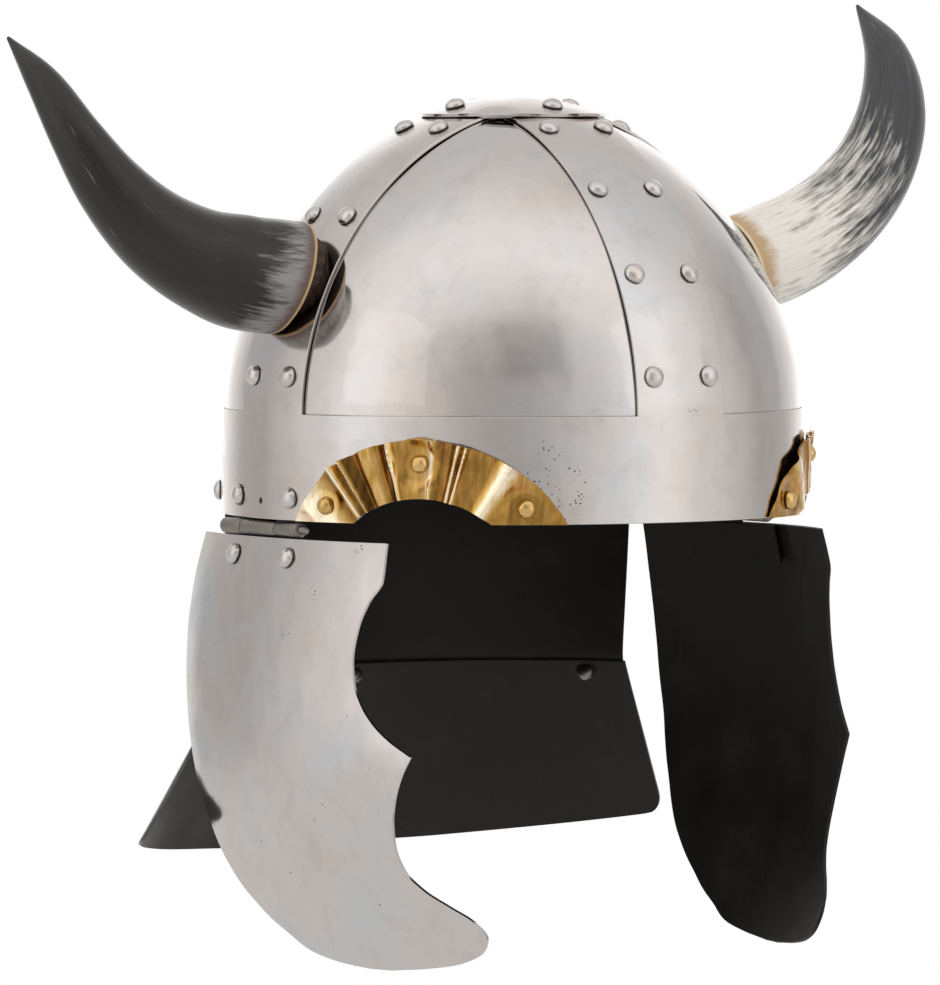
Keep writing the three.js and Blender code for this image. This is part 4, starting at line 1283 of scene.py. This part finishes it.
@dataclass
class Horn:
    """A natural horn on the side of the dome, cut nearly parallel to it.

    Attributes:
        form: Form of the dome.
        shop: The finishes.
        side: The wearer's side.
        radius: Radius at the foot.
        rise: How far the tip is over the seat.
        reach: How far the tip is outside the seat.
        seat_back: How far the seat is behind the middle of the strap.
        sections: Share of the reach, sweep, rise and foot radius at each section.
        seat_share: Height of the seat as a share of the dome's height.
        standoff: Gap between the middle of the foot and the dome.
        tilt: Turn of the cut that brings its lower edge to the dome, in degrees.
        turn: Turn of the cut that brings its rear edge to the dome, in degrees.
        sweep: How far the tip is behind the seat.
        wall: Thickness of the horn at the cut.
        hollow: Depth of the hollow behind the cut.
        rows: Rows from the foot to the tip.
        columns: Columns round the horn.
    """

    form: DomeForm
    shop: Workshop
    side: Side
    radius: float
    rise: float
    reach: float
    seat_back: float
    sections: tuple[tuple[float, float, float, float], ...]
    seat_share: float = 0.433
    standoff: float = 2.4
    tilt: float = 7.0
    turn: float = 8.0
    sweep: float = 50.0
    wall: float = 4.5
    hollow: float = 7.0
    rows: int = 130
    columns: int = 64

    def seat(self) -> Vector:
        """Where the horn's axis meets the dome.

        Returns:
            The point in millimetres.
        """
        form = self.form
        height = form.band_height + form.dome_height * self.seat_share
        across = math.sqrt(form.share(height) ** 2 - (self.seat_back / form.half_length) ** 2)
        return Vector((self.side.value * form.half_width * across, self.seat_back, height))

    def axis(self) -> list[Vector]:
        """Points of the axis, from behind the foot to the tip.

        Returns:
            The points in order.
        """
        seat = self.seat()
        points = [seat + Vector((self.side.value * out * self.reach, back * self.sweep, up * self.rise))
                  for out, back, up, _ in self.sections]
        return [points[0] + (points[0] - points[1]) * 1.2] + points

    def on_axis(self, points: list[Vector], t: float) -> Vector:
        """Point of the smooth curve through the axis points, by its share of the spans.

        Args:
            points: The axis points.
            t: From 0 at the first point to 1 at the tip.

        Returns:
            The point in millimetres.
        """
        spans = len(points) - 1
        k = min(int(t * spans), spans - 1)
        weight = t * spans - k
        p1, p2 = points[k], points[k + 1]
        p0 = points[k - 1] if k else p1 * 2 - p2
        p3 = points[k + 2] if k + 2 <= spans else p2 * 2 - p1
        d0, d1, d2 = (max((b - a).length, 1e-4) ** 0.5 for a, b in ((p0, p1), (p1, p2), (p2, p3)))
        m1 = ((p1 - p0) / d0 - (p2 - p0) / (d0 + d1) + (p2 - p1) / d1) * d1
        m2 = ((p2 - p1) / d1 - (p3 - p1) / (d1 + d2) + (p3 - p2) / d2) * d1
        w = weight
        return (p1 * (2 * w ** 3 - 3 * w ** 2 + 1) + m1 * (w ** 3 - 2 * w ** 2 + w)
                + p2 * (3 * w ** 2 - 2 * w ** 3) + m2 * (w ** 3 - w ** 2))

    def foot_plane(self) -> tuple[Vector, Vector]:
        """The plane that cuts the foot: a point on it and its direction.

        Returns:
            The point and the direction.
        """
        seat, form = self.seat(), self.form
        normal = Vector((seat.x / form.half_width ** 2, seat.y / form.half_length ** 2,
                         (seat.z - form.band_height) / form.dome_height ** 2)).normalized()
        tilted = Matrix.Rotation(self.side.value * math.radians(self.tilt), 3, "Y") @ normal
        turned = Matrix.Rotation(self.side.value * math.radians(self.turn), 3, "Z") @ tilted
        return seat + normal * self.standoff, turned

    def build(self) -> None:
        """Builds the horn, with its grain attribute for the streaks."""
        points = self.axis()
        girths = [self.sections[0][3]] + [s[3] for s in self.sections]
        places = np.linspace(0, 1, len(girths))
        origin, direction = self.foot_plane()

        def skin(t: float, angle: float) -> tuple[Vector, Vector]:
            """A point of the skin and of the axis, by share along and angle round.

            Args:
                t: Share along the axis.
                angle: Angle round it.

            Returns:
                The point of the skin and the one of the axis.
            """
            centre = self.on_axis(points, t)
            tangent = (self.on_axis(points, min(t + 1e-3, 1)) - self.on_axis(points, max(t - 1e-3, 0))).normalized()
            across = tangent.cross(Vector((0, 1, 0))).normalized()
            over = across.cross(tangent)
            girth = self.radius * float(smooth_curve(places, girths, np.array([t]))[0])
            ripple = 1 + 0.012 * noise.noise(Vector((math.cos(angle) * 3, math.sin(angle) * 3, t * 6)))
            return centre + (across * math.cos(angle) + over * math.sin(angle)) * girth * ripple, centre

        mesh = bmesh.new()
        layer = mesh.verts.layers.float_vector.new("grain")
        rings: list[list[bmesh.types.BMVert]] = [[] for _ in range(self.rows + 3)]

        def add_corner(ring: int, spot: Vector, angle: float, along: float) -> None:
            """Adds a corner with its grain: place round the horn and distance from the cut.

            Args:
                ring: Number of the ring.
                spot: Where the corner is.
                angle: Angle round the horn.
                along: Distance from the cut.
            """
            vert = mesh.verts.new(spot)
            vert[layer] = Vector((math.cos(angle) * self.radius, math.sin(angle) * self.radius, along))
            rings[ring].append(vert)

        length = sum((b - a).length for a, b in zip(points[1:], points[2:]))
        for c in range(self.columns):
            angle = c / self.columns * math.tau
            low, high = 0.0, 0.4
            for _ in range(30):
                half = (low + high) / 2
                low, high = (low, half) if (skin(half, angle)[0] - origin).dot(direction) > 0 else (half, high)
            start = (low + high) / 2
            foot, centre = skin(start, angle)
            inward = (centre - foot).normalized()
            inner = foot + inward * self.wall
            for depth, spot in enumerate((inner + direction * self.hollow, inner, foot)):
                add_corner(depth, spot, angle, depth * 3.0 - 6)
            travelled, before = 0.0, foot
            for r in range(1, self.rows + 1):
                share = r / self.rows
                spot, _ = skin(start + (1 - start) * share, angle)
                travelled += (spot - before).length
                before = spot
                add_corner(r + 2, spot, angle, travelled)
        for lower, upper in zip(rings, rings[1:]):
            for c in range(self.columns):
                d = (c + 1) % self.columns
                mesh.faces.new((lower[c], lower[d], upper[d], upper[c]))
        mesh.faces.new(rings[-1])
        mesh.faces.new(list(reversed(rings[0])))
        bmesh.ops.recalc_face_normals(mesh, faces=mesh.faces)
        LOG.info("horn %s is %.0f mm long", self.side.label, length)
        obj = ease_edges(to_object(f"polished_horn_{self.side.label}", mesh), 0.5, harden=False)
        right = self.side is Side.RIGHT
        dress(obj, [self.shop.dark_horn if right else self.shop.pale_horn], "helmet",
              "horn_dark" if right else "horn_pale", f"horn_{self.side.label}")


@dataclass
class CheekGuard:
    """A dished cheek plate with a pointed step and a nose in front, hung on a hinge.

    Attributes:
        shop: The finishes.
        side: The wearer's side.
        top_x: Distance of the plate's top from the middle.
        drop: Depth of the plate's top edge under the rim.
        height: Height of the plate.
        front: Reach to the front.
        rear: Reach to the rear.
        lean: How far the plate's foot is nearer to the middle than its top.
        bow: How far it bows out at half height.
        turn_in: How far its front edge turns in.
        turn_power: How late the turn starts.
        sheet: Thickness of the plate.
        rivet_drop: Depth of the rivets under the rim.
        rivet_span: Distance between the two rivets.
        centre_y: Y of the middle between them.
        sections: Depth share, front share and rear share of each section. The pointed one is a corner.
        pointed: Number of the pointed section.
    """

    shop: Workshop
    side: Side
    top_x: float = 107.8
    drop: float = 6.7
    height: float = 155.2
    front: float = 90.0
    rear: float = 56.0
    lean: float = 14.8
    bow: float = 14.9
    turn_in: float = 23.5
    turn_power: float = 2.3
    sheet: float = 1.2
    rivet_drop: float = 13.5
    rivet_span: float = 35.5
    centre_y: float = 5.0
    pointed: int = 9
    sections: tuple[tuple[float, float, float], ...] = (
        (0.0, 0.672, 0.973), (0.087, 0.687, 0.991), (0.132, 0.644, 0.998), (0.19, 0.607, 1.0),
        (0.261, 0.592, 0.998), (0.319, 0.603, 0.989), (0.37, 0.636, 0.979), (0.415, 0.689, 0.963),
        (0.454, 0.761, 0.943), (0.489, 0.85, 0.925), (0.538, 0.802, 0.902), (0.596, 0.762, 0.863),
        (0.654, 0.738, 0.807), (0.705, 0.731, 0.754), (0.757, 0.75, 0.679), (0.802, 0.813, 0.582),
        (0.838, 0.9, 0.482), (0.87, 0.974, 0.37), (0.905, 1.007, 0.241), (0.937, 0.983, 0.08),
        (0.973, 0.867, -0.116), (0.991, 0.7, -0.39), (1.0, 0.533, -0.68))

    def face_x(self, y: float, z: float) -> float:
        """Distance of the outer face from the middle: bowed out, leaning in below, turned in at its ends.

        Args:
            y: Distance to the back.
            z: Height.

        Returns:
            The distance.
        """
        down = (-z - self.drop) / self.height
        turn = self.turn_in * (abs(y) / self.front) ** self.turn_power
        return self.top_x - self.lean * down + 4 * self.bow * down * (1 - down) - turn

    def point(self, y: float, z: float, inward: float = 0.0) -> Vector:
        """Point of the plate at a length and height, moved into its thickness.

        Args:
            y: Distance to the back.
            z: Height.
            inward: Depth under the outer face.

        Returns:
            The point in millimetres.
        """
        slope_y = self.face_x(y + 0.5, z) - self.face_x(y - 0.5, z)
        slope_z = self.face_x(y, z + 0.5) - self.face_x(y, z - 0.5)
        spot = Vector((self.face_x(y, z), y, z)) - Vector((1, -slope_y, -slope_z)).normalized() * inward
        spot.x *= self.side.value
        return spot

    def normal(self, y: float, z: float) -> Vector:
        """Outward direction of the plate."""
        return (self.point(y, z) - self.point(y, z, 1.0)).normalized()

    def build(self) -> None:
        """Builds the plate and its two rivets."""
        down, front, rear = (np.array(column) for column in zip(*self.sections))
        corner = down[self.pointed]
        rows = np.concatenate([np.linspace(0, corner, 70), np.linspace(corner, 0.87, 56)[1:],
                               1 - 0.13 * (1 - np.linspace(0, 1, 34)[1:]) ** 1.6])
        split = self.pointed + 1
        upper = smooth_curve(down[:split], front[:split], rows)
        lower = smooth_curve(down[self.pointed:], front[self.pointed:], rows)
        fronts = np.where(rows <= corner, upper, lower) * -self.front
        rears = smooth_curve(down, rear, rows) * self.rear
        grid = []
        for depth, y_front, y_rear in zip(rows, fronts, rears):
            z = -self.drop - depth * self.height
            grid.append([self.point(y, z) for y in np.linspace(y_front, y_rear, 72)])
        node = f"cheek_plate_{self.side.label}"
        body = f"cheek_{self.side.label}"
        sheet = SheetMesh(f"dished_{node}", self.sheet, centre=(0.0, 0.0, -80.0))
        sheet.add_grid(np.array(grid))
        sheet.hammer(0.5, 38.0, 6.0 * self.side.value)
        sheet.hammer(0.10, 13.0, 1.0 * self.side.value)
        # The left cheek plate's cut edge takes the black inner finish as painted shade; the right one shows bright
        # steel.
        edge = self.shop.cheek if self.side is Side.RIGHT else self.shop.black
        dress(sheet.finish(), [self.shop.cheek, self.shop.black, edge], body, "steel_polished", node)
        for number, step in enumerate((-0.5, 0.5), start=1):
            y = self.centre_y + step * self.rivet_span
            place = stand_on(self.point(y, -self.rivet_drop), self.normal(y, -self.rivet_drop))
            RivetHead().stand_for(f"cheek_rivet_{self.side.label}_{number}", place, self.shop.rivet, body)


@dataclass
class Hinge:
    """A three-knuckle hinge between the band and a cheek guard.

    Attributes:
        form: Form of the band.
        shop: The finishes.
        cheek: The cheek guard that hangs on it.
        axis_x: Distance of the pin from the middle.
        drop: Depth of the pin under the rim.
        knuckle: Radius of the barrel.
        pin: Radius of the pin.
        sheet: Thickness of a leaf.
        half_leaf: Half the length of a leaf.
        leaf_rise: Height of the upper leaf over the rim.
        leaf_fall: Height of the lower leaf.
        clearance: Gap between the lower leaf and the cheek plate.
        gap: Gap between two knuckles, and between the upper leaf and the band.
        pin_proud: How far the pin stands out in front.
        rivet_height: Height of the rivets in the band.
        stations: Y of the barrel's ends and joints, from the rear.
    """

    form: DomeForm
    shop: Workshop
    cheek: CheekGuard
    axis_x: float = 106.0
    drop: float = 3.4
    knuckle: float = 2.9
    pin: float = 1.5
    sheet: float = 1.1
    half_leaf: float = 28.0
    leaf_rise: float = 18.0
    leaf_fall: float = 14.2
    clearance: float = 0.7
    gap: float = 0.3
    pin_proud: float = 3.5
    rivet_height: float = 8.0
    stations: tuple[float, float, float, float] = (32.5, 19.8, -2.6, -16.8)

    def barrel(self, mesh: bmesh.types.BMesh, rear: float, front: float, radius: float, ease: float) -> None:
        """Adds one knuckle or the pin to a mesh.

        Args:
            mesh: The mesh to add to.
            rear: Y of its rear end.
            front: Y of its front end.
            radius: Its radius.
            ease: Width of the eased ends.
        """
        side = self.cheek.side.value
        length = rear - front
        place = Matrix.Translation((side * self.axis_x, rear, -self.drop)) @ Matrix.Rotation(math.pi / 2, 4, "X")
        profile = [(0, 0), (radius - ease, 0), (radius - 0.3 * ease, 0.3 * ease), (radius, ease),
                   (radius, length - ease), (radius - 0.3 * ease, length - 0.3 * ease), (radius - ease, length),
                   (0, length)]
        lathe(profile, 36, place, mesh)

    def slab(self, mesh: bmesh.types.BMesh, outer: Callable[[float, float], Vector],
             inner: Callable[[float, float], Vector], ys: Sequence[float], zs: Sequence[float]) -> None:
        """Adds a closed curved slab between an outer and an inner face.

        Args:
            mesh: The mesh to add to.
            outer: The outer face, as a function of y and z.
            inner: The inner face.
            ys: The columns.
            zs: The rows.
        """
        layers = [[[mesh.verts.new(face(y, z)) for y in ys] for z in zs] for face in (outer, inner)]
        rows, columns = len(zs), len(ys)
        before = len(mesh.faces)
        for layer in layers:
            for r in range(rows - 1):
                for c in range(columns - 1):
                    mesh.faces.new((layer[r][c], layer[r][c + 1], layer[r + 1][c + 1], layer[r + 1][c]))
        border = [(0, c) for c in range(columns)] + [(r, columns - 1) for r in range(1, rows)]
        border += [(rows - 1, c) for c in range(columns - 2, -1, -1)] + [(r, 0) for r in range(rows - 2, 0, -1)]
        for (r, c), (s, d) in zip(border, border[1:] + border[:1]):
            mesh.faces.new((layers[0][r][c], layers[0][s][d], layers[1][s][d], layers[1][r][c]))
        mesh.faces.ensure_lookup_table()
        for face in mesh.faces[before:]:
            face.material_index = 1

    def band_face(self, offset: float) -> Callable[[float, float], Vector]:
        """The inside of the band as a face, at an offset.

        Args:
            offset: Distance outwards from the band's outer face.

        Returns:
            The face as a function of y and z.
        """
        def face(y: float, z: float) -> Vector:
            """Point of the face at a length and height.

            Args:
                y: Distance to the back.
                z: Height.

            Returns:
                The point in millimetres.
            """
            deep = self.form.half_length + offset
            x = (self.form.half_width + offset) * math.sqrt(1 - (y / deep) ** 2)
            return Vector((self.cheek.side.value * x, y, z))
        return face

    def finished(self, name: str, mesh: bmesh.types.BMesh) -> bpy.types.Object:
        """Writes a hinge piece with eased edges."""
        bmesh.ops.recalc_face_normals(mesh, faces=mesh.faces)
        return ease_edges(to_object(name, mesh), 0.2, 40.0)

    def build(self) -> None:
        """Builds both leaves, the pin and the rivets in the band."""
        side, label = self.cheek.side.value, self.cheek.side.label
        rear, middle_rear, middle_front, front = self.stations
        start, end = self.cheek.centre_y - self.half_leaf, self.cheek.centre_y + self.half_leaf
        inner = -self.form.sheet - self.gap
        upper = bmesh.new()
        faces = self.band_face(inner), self.band_face(inner - self.sheet)
        self.slab(upper, *faces, np.linspace(start, end, 40), np.linspace(self.drop / 4, self.leaf_rise, 8))
        for back, fore in ((rear, middle_rear + self.gap / 2), (middle_front - self.gap / 2, front)):
            self.barrel(upper, back, fore, self.knuckle, 0.4)
            self.slab(upper, *faces, np.linspace(fore + 0.1, back - 0.1, 12), np.linspace(-self.drop, 1.5, 6))
        name = f"hinge_upper_{label}"
        leaf = [self.shop.hinge, self.shop.black]
        dress(self.finished(f"rolled_{name}", upper), leaf, "helmet", "steel_blackened", name)
        pin = bmesh.new()
        self.barrel(pin, rear - 0.2, front - self.pin_proud, self.pin, 0.35)
        name = f"hinge_pin_{label}"
        dress(self.finished(f"turned_{name}", pin), [self.shop.hinge], "helmet", "steel_polished", name)
        lower = bmesh.new()
        self.barrel(lower, middle_rear - self.gap / 2, middle_front + self.gap / 2, self.knuckle, 0.4)
        top = -self.drop - self.knuckle - self.gap * 1.5
        depth = self.cheek.sheet + self.clearance
        faces = [partial(self.cheek.point, inward=deep) for deep in (depth, depth + self.sheet)]
        self.slab(lower, *faces, np.linspace(start, end, 40), np.linspace(top - self.leaf_fall, top, 8))
        low, high = side * (self.axis_x - self.clearance), side * (self.axis_x - self.knuckle * 0.7)
        ends = np.linspace(middle_front + 0.2, middle_rear - 0.2, 12)
        self.slab(lower, lambda y, z: Vector((low, y, z)), lambda y, z: Vector((high, y, z)), ends,
                  np.linspace(top - self.sheet, -self.drop, 4))
        name = f"hinge_lower_{label}"
        dress(self.finished(f"rolled_{name}", lower), leaf, f"cheek_{label}", "steel_blackened", name)
        for number, step in enumerate((-0.5, 0.5), start=1):
            point = self.band_face(0.0)(self.cheek.centre_y + step * self.cheek.rivet_span, self.rivet_height)
            place = stand_on(point, self.form.normal(point))
            RivetHead().stand_for(f"hinge_rivet_{label}_{number}", place, self.shop.rivet)


@dataclass
class NeckGuard:
    """A plate inside the band that ends in a flared flange, and a flared lame riveted inside it.

    Attributes:
        form: Form of the band.
        shop: The finishes.
        sheet: Thickness of the plate and lame.
        rim_angle: Half angle of the plate at the rim, in degrees.
        fold_angle: Half angle of the plate at the fold, in degrees.
        lame_top_angle: Half angle of the lame's upper edge, in degrees.
        lame_bottom_angle: Half angle of its lower edge, in degrees.
        inside_band: How far the plate reaches up inside the band.
        fold: Depth at which the flare starts.
        flange: Height of the flange.
        bottom: Depth of the lame's corners.
        dip: How much deeper its middle is.
        flare: How far the lame's edge stands out.
        corner: Radius of the lame's corners.
        rivet_angle: Angle of its outer rivets from the back, in degrees.
    """

    form: DomeForm
    shop: Workshop
    sheet: float = 1.2
    rim_angle: float = 59.8
    fold_angle: float = 58.1
    lame_top_angle: float = 58.8
    lame_bottom_angle: float = 60.2
    inside_band: float = 22.0
    fold: float = 60.0
    flange: float = 13.0
    bottom: float = 122.8
    dip: float = 11.0
    flare: float = 34.0
    corner: float = 9.0
    rivet_angle: float = 50.0

    def point(self, angle: float, height: float, inward: float) -> Vector:
        """Point of the guard at an angle from the back: upright inside the band, flared below the fold.

        Args:
            angle: Angle from the back.
            height: Height over the rim.
            inward: Depth under the outer face.

        Returns:
            The point in millimetres.
        """
        slope = self.flare / (self.bottom - self.fold)
        below = -height - self.fold
        out = slope * (math.sqrt(below ** 2 + 4.0) + below) / 2
        thicken = 1 + (math.hypot(1, slope) - 1) * smoothstep(below, -2.0, 2.0)
        return self.form.band(math.pi - angle, height, out - self.form.sheet - self.form.fit_gap - inward * thicken)

    def build(self) -> None:
        """Builds the plate and the lame with its rivets."""
        heights = np.concatenate([np.linspace(self.inside_band, -self.fold + 6, 24),
                                  np.linspace(-self.fold + 6, -self.fold - self.flange, 26)[1:]])
        plate = SheetMesh("bent_neck_plate", self.sheet, centre=(0.0, 0.0, -20.0))
        grid = []
        for z in heights:
            share = min(max(-z / self.fold, -1.0), 1.3)
            half = math.radians(self.rim_angle + (self.fold_angle - self.rim_angle) * share)
            grid.append([self.point(u * half, z, 0.0) for u in np.linspace(-1, 1, 120)])
        plate.add_grid(np.array(grid))
        plate.hammer(0.3, 30.0, 12.0)
        dress(plate.finish(), [self.shop.dull, self.shop.black, self.shop.black], "helmet", "steel_blackened",
              "neck_plate")
        lame = SheetMesh("flared_neck_lame", self.sheet, centre=(0.0, 0.0, -60.0))
        top = -self.fold - self.sheet * 1.5
        rises = self.corner * np.linspace(0, 1, 10)
        grid = []
        for row in range(len(rises) + 30):
            line = []
            for u in np.linspace(-1, 1, 120):
                low = -self.bottom - self.dip * (1 - u ** 2)
                tall = top - low
                upper = (row - len(rises) + 1) / 30
                rise = rises[row] if upper <= 0 else self.corner + (tall - self.corner) * upper
                left = max(self.corner - rise, 0.0)
                inset = self.corner - math.sqrt(self.corner ** 2 - left ** 2)
                widest = self.lame_bottom_angle + (self.lame_top_angle - self.lame_bottom_angle) * rise / tall
                half = math.radians(widest) - inset / (self.form.half_width + self.flare)
                line.append(self.point(u * half, low + rise, self.sheet + self.form.fit_gap * 1.5))
            grid.append(line)
        lame.add_grid(np.array(grid))
        lame.hammer(0.4, 34.0, 14.0)
        dress(lame.finish(), [self.shop.dull, self.shop.black, self.shop.dull], "helmet", "steel_blackened",
              "neck_flare")
        heads = bmesh.new()
        for angle in (-self.rivet_angle, 0.0, self.rivet_angle):
            turn, z = math.radians(angle), -self.fold - self.flange / 2
            depth = self.sheet * 2 + self.form.fit_gap * 1.5
            spot = self.point(turn, z, depth)
            facing = self.point(turn, z, depth + 1) - spot
            facing.z = facing.length * self.flare / (self.bottom - self.fold)
            RivetHead().add(stand_on(spot, facing.normalized()), heads)
        dress(to_object("neck_lame_rivets", heads), [self.shop.hinge], "helmet", "steel_blackened")


@dataclass
class Studio:
    """A white room with soft light, and a camera at the height of the cheek guards.

    Attributes:
        towards: Direction from the object to the camera.
        across: The picture's right.
        place: Where the camera stands, in metres.
        lens: Focal length for a sensor 36 mm wide.
        floor_height: Height of the floor, in metres.
        floor_radius: Radius of the floor, in metres.
        doorway: Direction of a dimmer opening in the front wall.
        doorway_half: Half its width and height, as shares of its distance.
        wall_tones: Brightness of the walls, from behind the object (-1) to behind the camera (1).
        ceiling_tones: The same for the ceiling.
    """

    towards: Vertex = (-0.5743, -0.8175, 0.0441)
    across: Vertex = (0.8183, -0.5749, 0.0)
    place: Vertex = (-1.7357, -2.4430, 0.1392)
    lens: float = 309.4
    floor_height: float = -0.42
    floor_radius: float = 2.0
    doorway: Vertex = (-0.369, -0.842, 0.45)
    doorway_half: tuple[float, float] = (0.23, 0.20)
    wall_tones: tuple[tuple[float, float], ...] = (
        (-1.0, 1.3), (-0.95, 1.25), (-0.87, 0.98), (-0.7, 0.58), (-0.42, 0.55), (-0.2, 0.74), (0.0, 0.88),
        (0.2, 0.96), (0.4, 1.22), (0.58, 1.18), (0.8, 0.9), (0.9, 0.78), (0.97, 0.6), (1.0, 0.54))
    ceiling_tones: tuple[tuple[float, float], ...] = (
        (-1.0, 0.72), (-0.62, 0.75), (-0.37, 0.8), (-0.1, 0.88), (0.17, 1.1), (0.42, 1.22), (0.64, 1.08),
        (0.85, 0.8))

    def camera(self) -> None:
        """Sets the camera at the photograph's angle."""
        data = bpy.data.cameras.new("camera")
        data.sensor_fit, data.sensor_width, data.lens = "HORIZONTAL", 36.0, self.lens
        data.clip_start, data.clip_end = 0.1, 50.0
        obj = linked("camera", data)
        back = Vector(self.towards).normalized()
        right = Vector(self.across).normalized()
        turn = Matrix((right, back.cross(right), back)).transposed()
        obj.matrix_world = Matrix.Translation(self.place) @ turn.to_4x4()
        bpy.context.scene.camera = obj

    def floor(self) -> None:
        """Lays a pale floor that melts into the white room."""
        mesh = bmesh.new()
        bmesh.ops.create_circle(mesh, cap_ends=True, segments=96, radius=self.floor_radius)
        bmesh.ops.translate(mesh, vec=(0, 0, self.floor_height), verts=mesh.verts)
        data = bpy.data.meshes.new("floor")
        mesh.to_mesh(data)
        mesh.free()
        obj = linked("floor", data)
        obj.data.materials.append(PaleFloor(self.floor_height, self.floor_radius).material())
        obj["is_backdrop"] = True

    def room(self) -> None:
        """Fills the room with white light that is weaker behind the camera."""
        world = bpy.data.worlds.new("white_room")
        bpy.context.scene.world = world
        add = clean_tree(world)
        way = add("TexCoord", output="Generated")
        level = add("VectorMath", (way, (1, 1, 0)), operation="MULTIPLY")
        level = add("VectorMath", (level,), operation="NORMALIZE")
        front = Vector((self.towards[0], self.towards[1], 0)).normalized()
        walls = add("VectorMath", (level, front), "Value", operation="DOT_PRODUCT")
        above = add("VectorMath", (way, front), "Value", operation="DOT_PRODUCT")
        tones = []
        for place, stops in ((walls, self.wall_tones), (above, self.ceiling_tones)):
            share = add("MapRange", (place, -1.0, 1.0))
            ramp = add("ValToRGB", (share,), stops=[((turn + 1) / 2, "#ffffff") for turn, _ in stops])
            for element, (_, tone) in zip(ramp.node.color_ramp.elements, stops):
                element.color = (tone, tone * 0.985, tone * 0.975, 1)
            tones.append(ramp)
        rise = add("SeparateXYZ", (way,), "Z")
        share = add("MapRange", (rise, 0.25, 0.68), interpolation_type="SMOOTHSTEP")
        tone = add("Mix", {0: share, 6: tones[0], 7: tones[1]}, 2, data_type="RGBA")
        share = add("MapRange", (rise, -0.08, -0.5))
        tone = add("Mix", {0: share, 6: tone, 7: (0.8, 0.79, 0.78, 1)}, 2, data_type="RGBA")
        middle = Vector(self.doorway).normalized()
        aside = middle.cross(Vector((0, 0, 1))).normalized()
        inside = []
        for axis, half in ((aside, self.doorway_half[0]), (aside.cross(middle), self.doorway_half[1])):
            off = add("VectorMath", (way, axis), "Value", operation="DOT_PRODUCT")
            off = add("Math", (off,), operation="ABSOLUTE")
            inside.append(add("MapRange", (off, half * 1.25, half * 0.75)))
        ahead = add("VectorMath", (way, middle), "Value", operation="DOT_PRODUCT")
        ahead = add("Math", (ahead, 0.5), operation="GREATER_THAN")
        dim = add("Math", (inside[0], inside[1]), operation="MULTIPLY")
        dim = add("Math", (dim, ahead), operation="MULTIPLY")
        dim = add("Math", (dim, -0.2, 1.0), operation="MULTIPLY_ADD")
        room = add("Background", {"Color": tone, "Strength": dim})
        white = add("Background", {"Color": (1, 1, 1, 1), "Strength": 1.0})
        seen = add("LightPath", output="Is Camera Ray")
        mixed = add("MixShader", (seen, room, white))
        add("OutputWorld", {"Surface": mixed})

    def softbox(self, name: str, spot: Vertex, size: tuple[float, float], power: float,
                aim: Vertex = (0.0, 0.0, 0.03)) -> None:
        """Hangs a soft rectangular light that looks at the object.

        Args:
            name: The light's name.
            spot: Where it hangs, in metres.
            size: Its width and height, in metres.
            power: Its power in watts.
            aim: The point that it looks at, in metres.
        """
        data = bpy.data.lights.new(name, "AREA")
        data.shape, data.size, data.size_y, data.energy = "RECTANGLE", size[0], size[1], power
        linked(name, data).matrix_world = stand_on(Vector(spot), Vector(spot) - Vector(aim))

    def build(self) -> None:
        """Sets up the camera, floor, room and lights, and a plain view transform."""
        self.camera()
        self.floor()
        self.room()
        self.softbox("left_softbox", (-2.6, -0.2, 0.9), (1.8, 1.6), 1.0)
        self.softbox("right_softbox", (1.4, -2.4, 0.9), (1.8, 1.6), 1.0)
        bpy.context.scene.view_settings.view_transform = "Standard"
        bpy.context.scene.view_settings.look = "None"


RIGHT_HORN = (
    (0.067, 0.024, 0.0, 1.0), (0.224, 0.07, 0.02, 1.0), (0.422, 0.116, 0.083, 0.88), (0.619, 0.16, 0.201, 0.75),
    (0.787, 0.218, 0.373, 0.61), (0.908, 0.332, 0.582, 0.46), (0.977, 0.566, 0.804, 0.31), (1.0, 1.0, 1.0, 0.03))
LEFT_HORN = (
    (0.067, 0.024, 0.03, 1.0), (0.224, 0.07, 0.07, 1.01), (0.422, 0.116, 0.139, 0.97), (0.619, 0.16, 0.251, 0.91),
    (0.787, 0.218, 0.406, 0.82), (0.908, 0.332, 0.597, 0.69), (0.977, 0.566, 0.804, 0.46), (1.0, 1.0, 1.0, 0.03))


def main() -> None:
    """Loads the frame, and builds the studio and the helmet's pieces."""
    logging.basicConfig(level=logging.INFO, format="%(name)s: %(message)s")
    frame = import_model()
    cad_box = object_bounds()
    Studio().build()
    shop = Workshop.open()
    form = DomeForm()
    Bowl(form, shop).build()
    Horn(form, shop, Side.RIGHT, 21.0, 86.9, 91.6, 0.8, RIGHT_HORN).build()
    Horn(form, shop, Side.LEFT, 19.0, 102.0, 97.6, -7.7, LEFT_HORN, turn=-3.0).build()
    BrowArc(form, shop, Side.RIGHT).build()
    BrowArc(form, shop, Side.LEFT, lift=4.2, soften=0.03).build()
    for side in Side:
        cheek = CheekGuard(shop, side)
        cheek.build()
        Hinge(form, shop, cheek).build()
        plug = frame["nodes"][f"horn_plug_{side.label}"]
        plug.data.materials.clear()
        plug.data.materials.append(shop.wood)
    NeckGuard(form, shop).build()
    boxes = {"cad": cad_box, "visual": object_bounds()}
    {name: [list(low), list(high)] for name, (low, high) in boxes.items()}


if __name__ == "__main__":
    main()
